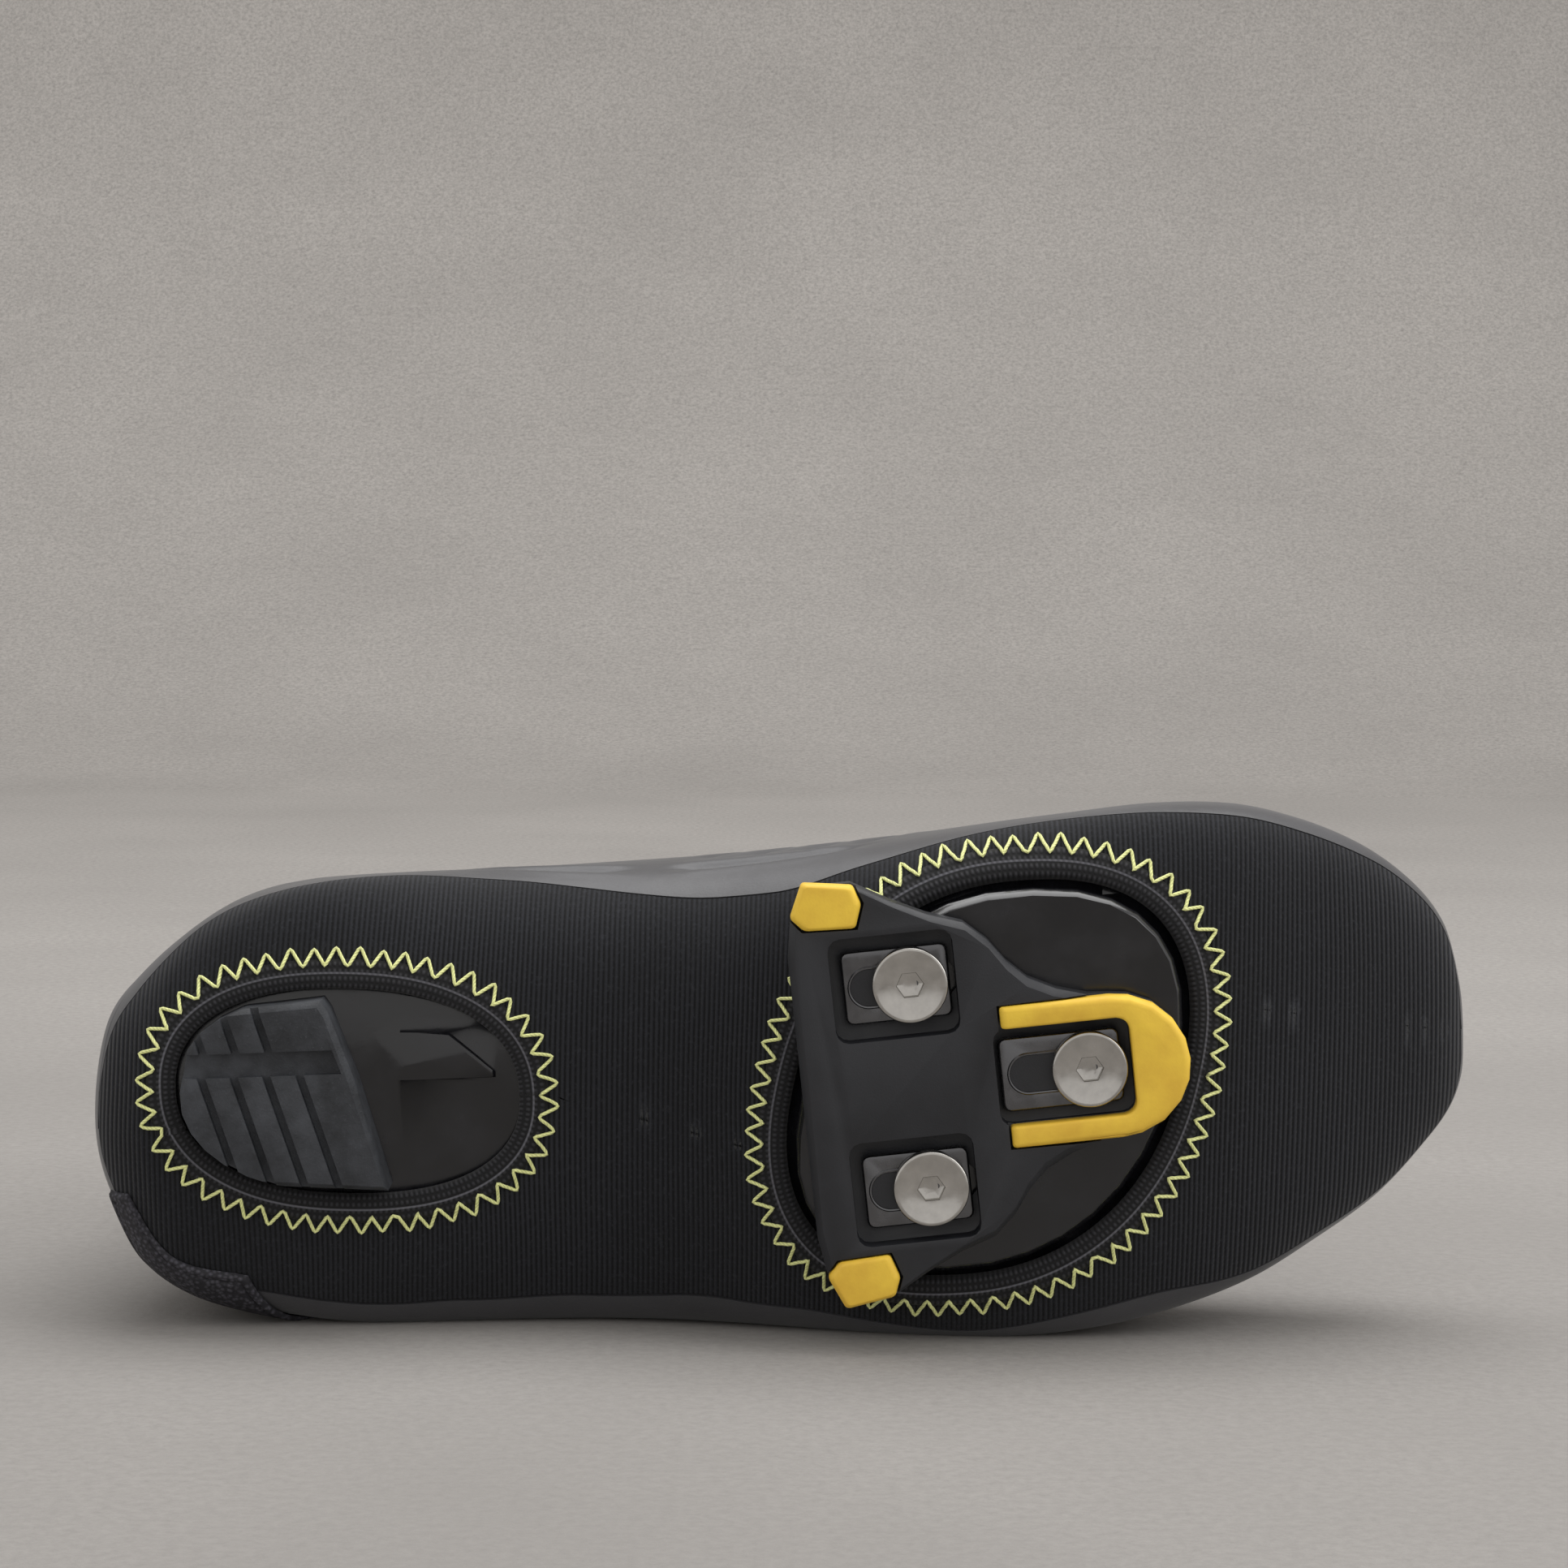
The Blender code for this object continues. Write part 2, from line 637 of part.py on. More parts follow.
def thick_sheet(name, patches, group):
    """Closed solid from patches, each a grid of pairs of outer and inner points."""
    places, outer, inner, faces = {}, [], [], []
    for grid in patches:
        numbers = []
        for row in grid:
            line = []
            for out_point, in_point in row:
                key = tuple(round(c, 2) for c in out_point)
                if key not in places:
                    places[key] = len(outer)
                    outer.append(out_point)
                    inner.append(in_point)
                line.append(places[key])
            numbers.append(line)
        for upper_row, lower_row in zip(numbers, numbers[1:]):
            for k in range(len(upper_row) - 1):
                loop = [upper_row[k], upper_row[k + 1], lower_row[k + 1], lower_row[k]]
                face = [v for i, v in enumerate(loop) if v != loop[i - 1]]
                if len(set(face)) > 2:
                    faces.append(face)
    edges = {}
    for face in faces:
        for a, b in zip(face, face[1:] + face[:1]):
            edges[(a, b)] = edges.get((a, b), 0) + 1
    count = len(outer)
    walls = [[b, a, a + count, b + count] for a, b in edges if (b, a) not in edges]
    inside = [[v + count for v in reversed(face)] for face in faces]
    return mesh_object(name, outer + inner, faces + inside + walls, group)


def loft(name, rings, group, closed_ends=True):
    """Solid through rings of equal count."""
    size = len(rings[0])
    points = [point for ring in rings for point in ring]
    faces = []
    for i in range(len(rings) - 1):
        for k in range(size):
            n = (k + 1) % size
            faces.append([i * size + k, i * size + n, (i + 1) * size + n, (i + 1) * size + k])
    if closed_ends:
        faces.append(list(range(size))[::-1])
        faces.append(list(range((len(rings) - 1) * size, len(rings) * size)))
    return mesh_object(name, points, faces, group)


def boolean(item, cutter, operation):
    """Cut, join or intersect an object with another one, and apply it."""
    step = item.modifiers.new(operation.title(), "BOOLEAN")
    step.operation = operation
    step.object = cutter
    step.solver = "EXACT"
    bpy.context.view_layer.update()
    shape = bpy.data.meshes.new_from_object(item.evaluated_get(bpy.context.evaluated_depsgraph_get()))
    item.modifiers.remove(step)
    item.data = shape
    return item


def mark_cutter(item):
    """Show a cutter as wire and keep it out of renders."""
    item.hide_render = True
    item.display_type = "WIRE"
    return item


def finish(item, colour, roughness, metallic, smooth):
    """Give an object its own material and smooth its round faces."""
    item.data.materials.clear()
    item.data.materials.append(material(item.name + "_finish", colour, roughness, metallic))
    item.data.shade_smooth()
    item.data.set_sharp_from_angle(angle=math.radians(smooth))
    return item


def stations_between(start, end, breaks):
    """Sorted stations from start to end with those breaks that lie between."""
    inside = [s for s in breaks if start + 0.02 < s < end - 0.02]
    return [start] + sorted(inside) + [end]


def cover_breaks():
    """Stations that upper and panel share, closer together at toe and heel."""
    toe, heel = closing_stations(seam_height("lateral", -MEETING_GAP / 2))
    near = [toe + step for step in (0.04, 0.14, 0.34, 0.7)] + [heel - step for step in (0.05, 0.18, 0.42, 0.8)]
    rows = [s for s in range(3, LAST) if all(abs(s - other) > 0.2 for other in near)]
    return near + rows


def side_angles(rim):
    """Angles of one side's points from the rim to the top, fixed above the widest part."""
    sign = math.copysign(1.0, rim)
    low = [rim + (sign * FIXED_FROM - rim) * k / RIM_CELLS for k in range(RIM_CELLS)]
    high = [sign * (FIXED_FROM + (180.0 - FIXED_FROM) * k / TOP_CELLS) for k in range(TOP_CELLS + 1)]
    return low + high


def build_upper(group):
    """Hollow shell from the seam over the instep to the cuff, with a hem as a step in its wall."""
    medial = seam_height("medial", MEETING_GAP / 2)
    lateral = seam_height("lateral", MEETING_GAP / 2)
    closing = closing_stations(lateral)
    hem = next(s / 50 for s in range(LAST * 50, 0, -1) if section_at(s / 50)[1] < CUFF_HEIGHT - HEM_HEIGHT)
    breaks = cover_breaks() + list(closing) + [0.45 * closing[0], hem, hem + 0.06]
    grid = []
    for s in stations_between(0.0, float(LAST), breaks):
        start = angle_at_lift(s, 1, lateral)
        end = -abs(angle_at_lift(s, -1, medial))
        step = HEM_STEP if s > hem + 0.03 else 0.0
        angles = side_angles(start) + side_angles(end)[-2::-1]
        grid.append([(press(offset(s, angle, step)), offset(s, angle, -COVER_WALL)) for angle in angles])
    return thick_sheet("upper", [grid], group)


def hole_edge(side, x):
    """Where the panel stops at x on one side of the middle line."""
    for hole in HOLES:
        span = hole.across(x, BINDING_WIDTH + BINDING_GAP)
        if span:
            return span[0] if side < 0 else span[1]
    return middle_line(x)


def angle_across(s, place):
    """Angle where a section passes a line given as a function of x, on either side of the axis."""
    low, high = -90.0, 90.0
    for _ in range(30):
        middle = (low + high) / 2
        point = raw_surface(s, middle)
        if point.y < place(point.x):
            low = middle
        else:
            high = middle
    return (low + high) / 2


def outermost_crossing(s, side, outside):
    """Angle of the panel's inner edge, found from its rim inward, so a section never passes over a cut-out."""
    def beyond(angle):
        point = raw_surface(s, angle)
        return (point.y - hole_edge(side, point.x)) * side > 0
    steps = 40
    far = outside
    for k in range(1, steps + 1):
        near = outside - side * (abs(outside) + 60.0) * k / steps
        if not beyond(near):
            break
        far = near
    for _ in range(20):
        middle = (near + far) / 2
        if beyond(middle):
            far = middle
        else:
            near = middle
    return far


def station_on_middle(x):
    """Section whose point on the middle line lies at x."""
    low, high = 0.0, len(FOOT_SECTIONS) + 2.0
    for _ in range(26):
        middle = (low + high) / 2
        angle = angle_across(middle, middle_line)
        if raw_surface(middle, angle).x > x:
            low = middle
        else:
            high = middle
    return low


def panel_stations():
    """Stations of the panel: those it shares with the upper, and those that shape its cut-outs."""
    toe, heel = closing_stations(seam_height("lateral", -MEETING_GAP / 2))
    shared = stations_between(toe, heel, cover_breaks())
    extra = []
    for hole in HOLES:
        rear, front = hole.ends(BINDING_WIDTH + BINDING_GAP)
        first, last = station_on_middle(front[0]), station_on_middle(rear[0])
        extra += [first + (last - first) * (1 - math.cos(math.pi * k / HOLE_STATIONS)) / 2
                  for k in range(HOLE_STATIONS + 1)]
    extra += [s / 2 for s in range(9, 2 * len(FOOT_SECTIONS) - 1)]
    kept = []
    for s in extra:
        if min(abs(s - other) for other in shared + kept) > 0.015:
            kept.append(s)
    extra = kept
    return shared, extra


def build_panel(group):
    """Ribbed panel under the foot, up to the seam, with its two cut-outs."""
    shared, extra = panel_stations()
    patches = []
    for side, name in ((-1, "medial"), (1, "lateral")):
        height = seam_height(name, -MEETING_GAP / 2)

        def pair(s, angle):
            return offset(s, angle, 0.0), offset(s, angle, -COVER_WALL)

        rims = [(s, angle_at_lift(s, side, height)) for s in shared]
        rim_pairs = [pair(s, angle) for s, angle in rims]
        grid = []
        for s in sorted(shared + extra):
            k = max(i for i, rim in enumerate(rims) if rim[0] <= s)
            following = min(k + 1, len(rims) - 1)
            share = (s - rims[k][0]) / max(rims[following][0] - rims[k][0], 1e-9)
            rim = tuple(a.lerp(b, share) for a, b in zip(rim_pairs[k], rim_pairs[following]))
            outside = angle_at_lift(s, side, height)
            inside = outermost_crossing(s, side, outside) if outside else 0.0
            row = [pair(s, inside + (outside - inside) * i / PANEL_CELLS) for i in range(PANEL_CELLS)]
            row.append(rim)
            grid.append(row if side > 0 else row[::-1])
        patches.append(grid)
    return thick_sheet("underfoot_panel", patches, group)


def build_binding(name, hole, group):
    """Elastic tape folded over the edge of a cut-out."""
    deep = -COVER_WALL
    profile = (
        (0.0, deep), (0.0, 0.0), (BINDING_ROUND, BINDING_PROUD),
        (BINDING_WIDTH - BINDING_ROUND, BINDING_PROUD), (BINDING_WIDTH, 0.0), (BINDING_WIDTH, deep),
    )
    rings = []
    for k in range(BINDING_STEPS + 1):
        turn = 2 * math.pi * (k % BINDING_STEPS) / BINDING_STEPS
        rings.append([underside(*hole.point(turn, grow), out) for grow, out in profile])
    return loft(name, rings, group, closed_ends=False)


def build_tab(group):
    """Reinforcement over the lateral heel edge, lying on upper and panel."""
    first = station_under(LENGTH * TAB_FRONT)
    last = len(FOOT_SECTIONS) + 2.4
    rows, cells = 9, 6
    grid = []
    for i in range(rows + 1):
        s = first + (last - first) * i / rows
        low = max(angle_at_lift(s, 1, lambda x: TAB_LOW), angle_across(s, lambda x: BALL_WIDTH * TAB_INNER))
        high = max(angle_at_lift(s, 1, lambda x: TAB_HIGH), low + 10.0)
        angles = [low + (high - low) * k / cells for k in range(cells + 1)]
        out = MEETING_GAP + TAB_THICKNESS
        grid.append([(press(offset(s, angle, out)), offset(s, angle, MEETING_GAP)) for angle in angles])
    return thick_sheet("heel_tab", [grid], group)


def sole_grid(depth, edge, points=11):
    """Rows of pairs: a point at a depth inside the underside, and the one above it at the edge height."""
    def height(_):
        return edge

    toe, heel = closing_stations(height, depth)
    near = [toe + step for step in (0.08, 0.3, 0.7)] + [heel - step for step in (0.24, 0.5, 0.9)]
    halves = [s / 2 for s in range(6, 2 * len(FOOT_SECTIONS) + 6)]
    rows = [s for s in halves if all(abs(s - other) > 0.25 for other in near)]
    grid = []
    for s in stations_between(toe, heel, near + rows):
        start, end = (angle_at_lift(s, sign, height, depth) for sign in (1, -1))
        lower = [offset(s, start + (end - start) * k / (points - 1), -depth) for k in range(points)]
        row = []
        for k, low in enumerate(lower):
            share = k / (points - 1)
            level = lower[0].lerp(lower[-1], share)
            top = Vector((level.x, level.y, sole_height(level.x) + edge))
            row.append((low, top))
        grid.append(row)
    return grid


def build_sole_block(name, depth, edge, group):
    """Solid that follows the underside at a depth inside it, with a level top."""
    rings = [[low for low, _ in row] + [top for _, top in row[-2:0:-1]] for row in sole_grid(depth, edge)[1:-1]]
    return loft(name, rings, group)


def resized(plan, distance):
    """Plan with each point moved away from its centre by a distance, or towards it where negative."""
    centre = sum((Vector(point) for point in plan), Vector((0.0, 0.0))) / len(plan)
    moved = []
    for point in plan:
        arm = Vector(point) - centre
        moved.append(tuple(centre + arm * (1 + distance / arm.length)))
    return moved


def upright(x, y, z):
    """Shoe place of a point given in shoe axes."""
    return Vector((x, y, z))


def plate(name, plan, place, start, end, chamfer, group):
    """Plate from a plan between two levels, chamfered where it ends."""
    way = math.copysign(chamfer, end - start)
    rings = [
        [place(x, y, start) for x, y in plan],
        [place(x, y, end - way) for x, y in plan],
        [place(x, y, end) for x, y in resized(plan, -chamfer)],
    ]
    return loft(name, rings, group)


def hole_outline(hole, grow, steps=32):
    """Plan outline of a cut-out, grown or shrunk."""
    return [hole.point(2 * math.pi * k / steps, grow) for k in range(steps)]


def to_cleat(x, y, z=0.0):
    """Shoe place of a point in the cleat's own axes, z measured down from the mounting face."""
    c, s = math.cos(CLEAT_TURN), math.sin(CLEAT_TURN)
    return Vector((CLEAT_X + x * c - y * s, CLEAT_Y + x * s + y * c, CLEAT_FACE - z))


def rounded_plan(along, across, radius, steps=3):
    """Plan of a rectangle with round corners, given by its ranges."""
    corners = (
        (along[1] - radius, across[1] - radius, 0), (along[0] + radius, across[1] - radius, 90),
        (along[0] + radius, across[0] + radius, 180), (along[1] - radius, across[0] + radius, 270),
    )
    plan = []
    for x, y, start in corners:
        for k in range(steps + 1):
            turn = math.radians(start + 90 * k / steps)
            plan.append((x + radius * math.cos(turn), y + radius * math.sin(turn)))
    return plan


def slot_plan(place, reach, radius, steps=6):
    """Plan of a slot with round ends, along the cleat."""
    plan = []
    for x, start in ((reach, -90), (-reach, 90)):
        for k in range(steps + 1):
            turn = math.radians(start + 180 * k / steps)
            plan.append((place[0] + x + radius * math.cos(turn), place[1] + radius * math.sin(turn)))
    return plan


def circle_plan(place, radius, steps):
    """Plan of a circle or of a regular polygon."""
    return [
        (place[0] + radius * math.cos(2 * math.pi * (k + 0.5) / steps),
         place[1] + radius * math.sin(2 * math.pi * (k + 0.5) / steps))
        for k in range(steps)
    ]


def cleat_plan():
    """Whole plan of the cleat body from its half plan."""
    half = [(x * CLEAT_LENGTH, y * CLEAT_WIDTH) for x, y in CLEAT_HALF_PLAN]
    return half + [(x, -y) for x, y in half[-2:0:-1]]


def nose_pad_plan():
    """Plan of the nose pad's outside, from its back corners round the nose."""
    half = [(x, y) for x, y in cleat_plan()[:len(CLEAT_HALF_PLAN)] if x > NOSE_PAD_BACK + 16.0]
    outer = [(NOSE_PAD_BACK, NOSE_PAD_HALF)] + half
    return outer + [(x, -y) for x, y in reversed(outer[:-1])]


def cut(item, name, plan, start, end, cutters):
    """Cut a plan out of an item of the cleat between two depths."""
    return boolean(item, mark_cutter(plate(name, plan, to_cleat, start, end, SHARP, cutters)), "DIFFERENCE")


def cut_windows(body, cutters):
    """Cut the three windows and the slots in their floors."""
    deep = CLEAT_THICKNESS + 3.0
    floor = CLEAT_FLOOR
    windows = {
        "medial": (WINDOW_ALONG, (-WINDOW_ACROSS[1], -WINDOW_ACROSS[0]), REAR_SLOT_REACH),
        "lateral": (WINDOW_ALONG, WINDOW_ACROSS, REAR_SLOT_REACH),
        "nose": (NOSE_WINDOW_ALONG, (-NOSE_WINDOW_HALF, NOSE_WINDOW_HALF), NOSE_SLOT_REACH),
    }
    for name, (along, across, reach) in windows.items():
        cut(body, "window_cutter", rounded_plan(along, across, WINDOW_RADIUS), floor, deep, cutters)
        cut(body, "slot_cutter", slot_plan(BOLT_PLACES[name], reach, SLOT_RADIUS), -2.0, floor + 1.0, cutters)


def build_cleat_pads(body, group, cutters):
    """Corner pads and nose pad, each in its own seat cut in the body."""
    top = CLEAT_FLOOR + PAD_SINK
    low = CLEAT_THICKNESS + CLEAT_PAD_PROUD
    plans = {
        "medial": [(x, -y) for x, y in CORNER_PAD_PLAN][::-1],
        "lateral": list(CORNER_PAD_PLAN),
        "nose": nose_pad_plan(),
    }
    pads = {}
    for name, plan in plans.items():
        pad = plate("cleat_pad_" + name, plan, to_cleat, top, low, CLEAT_PAD_CHAMFER, group)
        seat = resized(plan, CORNER_REACH * MEETING_GAP)
        cut(body, "pad_seat_cutter", seat, top - MEETING_GAP, low + 2.0, cutters)
        pads[pad.name] = pad
    opening = rounded_plan(
        (NOSE_PAD_BACK - 6.0, NOSE_WINDOW_ALONG[1]), (-NOSE_WINDOW_HALF, NOSE_WINDOW_HALF), WINDOW_RADIUS)
    cut(pads["cleat_pad_nose"], "nose_opening_cutter", opening, 0.0, low + 2.0, cutters)
    return pads


def build_cleat(group, cutters):
    """Cleat body, its three pads, washers and bolts."""
    body = plate("cleat_body", cleat_plan(), to_cleat, 0.0, CLEAT_THICKNESS, CLEAT_CHAMFER, group)
    cut_windows(body, cutters)
    items = {"cleat_body": body}
    items.update(build_cleat_pads(body, group, cutters))
    plans = {
        "medial": rounded_plan(REAR_WASHER_ALONG, (-REAR_WASHER_ACROSS[1], -REAR_WASHER_ACROSS[0]), 1.2),
        "lateral": rounded_plan(REAR_WASHER_ALONG, REAR_WASHER_ACROSS, 1.2),
        "nose": rounded_plan(NOSE_WASHER_ALONG, (-NOSE_WASHER_HALF, NOSE_WASHER_HALF), 1.2),
    }
    top = CLEAT_FLOOR + MEETING_GAP
    low = top + WASHER_THICKNESS
    for name, plan in plans.items():
        washer = plate("cleat_washer_" + name, plan, to_cleat, top, low, 0.3, group)
        slot = slot_plan(BOLT_PLACES[name], WASHER_SLOT_REACH, BOLT_SHANK_RADIUS + BOLT_CLEARANCE)
        cut(washer, "slot_cutter", slot, top - 1.0, low + 1.0, cutters)
        bolt = build_bolt("cleat_bolt_" + name, BOLT_PLACES[name], low + MEETING_GAP, group, cutters)
        items[washer.name] = washer
        items[bolt.name] = bolt
    return items


def build_bolt(name, place, seat, group, cutters, steps=16):
    """Bolt with a dished head, a hex socket and its shank, standing on a seat depth."""
    low = seat + BOLT_HEAD_HEIGHT
    profile = (
        (BOLT_SHANK_RADIUS, -BOLT_SHANK_DEPTH), (BOLT_SHANK_RADIUS, seat), (BOLT_HEAD_RADIUS - 0.5, seat),
        (BOLT_HEAD_RADIUS, low - 0.5), (BOLT_HEAD_RADIUS - 0.6, low), (HEX_ACROSS_FLATS * 0.68, low - BOLT_DISH),
    )
    rings = [[to_cleat(x, y, depth) for x, y in circle_plan(place, radius, steps)] for radius, depth in profile]
    item = loft(name, rings, group)
    socket = circle_plan(place, HEX_ACROSS_FLATS / math.sqrt(3), 6)
    return cut(item, "socket_cutter", socket, low - BOLT_DISH - HEX_DEPTH, low + 1.0, cutters)


def heel_plan(shares):
    """Plan in the heel cut-out from shares of its length and width about its centre."""
    x, y = HEEL_HOLE.centre
    return [(x + along * HEEL_HOLE_LENGTH, y + across * HEEL_HOLE_WIDTH) for along, across in shares]


def build_outsole(group, cutters):
    """Stiff sole with its cleat platform, heel step and blind bolt holes."""
    depth = COVER_WALL + SOLE_CLEARANCE
    sole = build_sole_block("outsole", depth, SOLE_EDGE, group)
    plan = hole_outline(FOREFOOT_HOLE, -2.0)
    platform = plate("platform_form", plan, upright, SOLE_EDGE - 1.0, -PLATFORM_PROUD, PLATFORM_CHAMFER, cutters)
    boolean(sole, mark_cutter(platform), "UNION")
    plan = heel_plan(HEEL_STEP_PLAN)
    level = sole_height(plan[1][0]) + depth
    heel_step = plate("heel_step_form", plan, upright, level + 3.0, level - STEP_PROUD, 0.5, cutters)
    boolean(sole, mark_cutter(heel_step), "UNION")
    for place in BOLT_PLACES.values():
        plan = circle_plan(place, BOLT_SHANK_RADIUS + BOLT_CLEARANCE, 12)
        cut(sole, "bolt_hole_cutter", plan, -BOLT_SHANK_DEPTH - BOLT_CLEARANCE, 3.0, cutters)
    return sole


def build_insole(group):
    """Foot bed on the outsole's level top."""
    low = SOLE_EDGE + INSOLE_GAP
    rings = []
    for row in sole_grid(COVER_WALL + SOLE_CLEARANCE, SOLE_EDGE)[3:-2:2]:
        first, last = row[0][1], row[-1][1]
        share = INSOLE_MARGIN / (last - first).length
        ring = []
        for level in (low, low + INSOLE_THICKNESS):
            line = []
            for k in range(5):
                place = first.lerp(last, share + (1 - 2 * share) * k / 4)
                line.append(Vector((place.x, place.y, sole_height(place.x) + level)))
            ring += line if level == low else line[::-1]
        rings.append(ring)
    return loft("insole", rings, group)


def build_heel_pad(group, cutters):
    """Rubber pad with slanted grooves and one long groove, inside the heel cut-out."""
    cx, cy = HEEL_HOLE.centre
    length, width = HEEL_HOLE_LENGTH, HEEL_HOLE_WIDTH
    low = HEEL_HEIGHT - PAD_PROUD
    top = HEEL_HEIGHT + COVER_WALL + 4.0
    pad = plate("heel_pad", heel_plan(PAD_PLAN), upright, top, low, PAD_CHAMFER, group)
    limit = plate("pad_limit", hole_outline(HEEL_HOLE, -PAD_MARGIN), upright, top + 5.0, low - 5.0, SHARP, cutters)
    boolean(pad, mark_cutter(limit), "INTERSECT")
    above = build_sole_block("pad_seat_form", COVER_WALL + SOLE_CLEARANCE - MEETING_GAP, SOLE_EDGE + 6.0, cutters)
    boolean(pad, mark_cutter(above), "DIFFERENCE")
    split = cy + PAD_LONG_GROOVE * width
    half = GROOVE_WIDTH / 2
    quads = []
    for places, reach in ((PAD_GROOVES_MEDIAL, -width), (PAD_GROOVES_LATERAL, width)):
        for place in places:
            start = cx + place * length
            far = cy + reach
            end = start + (far - split) * PAD_GROOVE_LEAN
            quads.append([(start - half, split), (start + half, split), (end + half, far), (end - half, far)])
    half = LONG_GROOVE_WIDTH / 2
    back, front = cx - length, cx - 0.03 * length
    quads.append([(back, split - half), (front, split - half), (front + 1.5, split + half), (back, split + half)])
    for quad in quads:
        cutter = plate("groove_cutter", quad, upright, low + GROOVE_DEPTH, low - 1.0, SHARP, cutters)
        boolean(pad, mark_cutter(cutter), "DIFFERENCE")
    return pad


def rest_matrix(items):
    """Turn that lays the shoe down and puts the origin under the middle of its box."""
    up = -FLOOR_NORMAL
    along = Vector((1.0, 0.0, 0.0))
    along = (along - up * along.dot(up)).normalized()
    turn = Matrix((along, up.cross(along), up)).to_4x4()
    points = [turn @ vertex.co for item in items for vertex in item.data.vertices]
    low = Vector([min(point[i] for point in points) for i in range(3)])
    high = Vector([max(point[i] for point in points) for i in range(3)])
    middle = (low + high) / 2
    return Matrix.Translation((-middle.x, -middle.y, -low.z)) @ turn


def main():
    """Model every sub-part and lay the shoe down."""
    clear_scene()
    parts = collection("cycling_overshoe")
    cutters = collection("cutters")
    items = {
        "upper": build_upper(parts),
        "underfoot_panel": build_panel(parts),
        "heel_opening_binding": build_binding("heel_opening_binding", HEEL_HOLE, parts),
        "forefoot_opening_binding": build_binding("forefoot_opening_binding", FOREFOOT_HOLE, parts),
        "heel_tab": build_tab(parts),
        "outsole": build_outsole(parts, cutters),
        "heel_pad": build_heel_pad(parts, cutters),
        "insole": build_insole(parts),
    }
    items.update(build_cleat(parts, cutters))
    for name, item in items.items():
        finish(item, *next(look for start, look in LOOKS.items() if name.startswith(start)))
    axes = bpy.data.objects.new("shoe_axes", None)
    parts.objects.link(axes)
    axes.matrix_world = rest_matrix(items.values())
    for item in list(items.values()) + list(cutters.objects):
        item.parent = axes
    bpy.context.view_layer.update()


main()
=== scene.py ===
"""Looks of a left cycling overshoe that lies on its outer side with its sole to the viewer.

The cover is a coated stretch upper over a ribbed underfoot panel. Two bound cut-outs show the road
shoe's stiff sole, its rubber heel pad and its three-bolt cleat. Shoe axes, in millimetres: x from heel
to toe, y to the outer side, z from sole to cuff. One matrix lays them down in the model's frame.
"""
import math

import bmesh
import bpy
import numpy as np
from bpy.props import FloatProperty, FloatVectorProperty, PointerProperty
from mathutils import Matrix, Vector


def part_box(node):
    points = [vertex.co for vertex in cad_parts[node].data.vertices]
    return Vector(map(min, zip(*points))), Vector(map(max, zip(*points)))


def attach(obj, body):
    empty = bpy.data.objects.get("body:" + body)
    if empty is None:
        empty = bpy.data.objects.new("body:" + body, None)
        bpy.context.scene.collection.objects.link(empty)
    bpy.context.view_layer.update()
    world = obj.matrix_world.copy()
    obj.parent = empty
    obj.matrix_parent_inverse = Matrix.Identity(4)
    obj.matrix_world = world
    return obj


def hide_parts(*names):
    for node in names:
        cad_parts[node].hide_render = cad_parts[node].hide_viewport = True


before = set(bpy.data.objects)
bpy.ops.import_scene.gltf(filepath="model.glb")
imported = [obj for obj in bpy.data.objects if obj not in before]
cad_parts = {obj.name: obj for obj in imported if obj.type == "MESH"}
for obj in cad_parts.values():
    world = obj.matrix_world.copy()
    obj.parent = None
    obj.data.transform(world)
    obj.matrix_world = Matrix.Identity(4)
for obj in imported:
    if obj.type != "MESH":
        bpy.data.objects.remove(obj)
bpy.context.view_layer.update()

bl_info = {
    "name": "Cycling overshoe",
    "version": (1, 0, 0),
    "blender": (4, 5, 0),
    "location": "View3D > Sidebar > Overshoe",
    "description": "Dresses the packed overshoe in knit, coated fabric, elastic, rubber, plastic and steel",
    "category": "Object",
}

MM = 0.001

# Sizes of the shoe inside its cover, in millimetres
LENGTH = 245.0
BALL_WIDTH = 92.0
INSTEP_HEIGHT = 80.0
CUFF_HEIGHT = 150.0
TOE_SPRING = 23.0
ARCH_HEIGHT = 8.0
HEEL_HEIGHT = 6.5
COVER_WALL = 1.8
MEETING_GAP = 0.3
HEM_HEIGHT = 14.0
HEM_STEP = 0.8
SEAM_HEIGHT = 16.0
FLOOR_PRESS = 0.5
BINDING_WIDTH = 5.0
TAB_THICKNESS = 0.9
TAB_FRONT = LENGTH * 0.100
TAB_INNER = BALL_WIDTH * 0.15
TAB_LOW = 3.6
TAB_HIGH = 22.0
SIDE_POWER = 3.0
SIDE_SOFTENING = 0.6
CLEAT_TURN = math.radians(-4.0)
NOSE_BOLT = (29.0, 0.0)
REAR_BOLT = (0.0, 17.6)
CLEAT_MIDDLE = (LENGTH * 0.645 - 12.0, BALL_WIDTH * -0.022 - 0.5, -0.9)
NOSE_BOLT_SPAN = (-4.5, 6.5)
BOLT_HEAD_HEIGHT = 2.7
WASHER_FACE = 3.5
SLOT_RADIUS = 3.4
SLOT_FLOOR_INSET = 0.1
SLOT_RIM_RADIUS = 0.28
SLOT_REACH_REAR = 7.0
SLOT_REACH_NOSE = 10.4

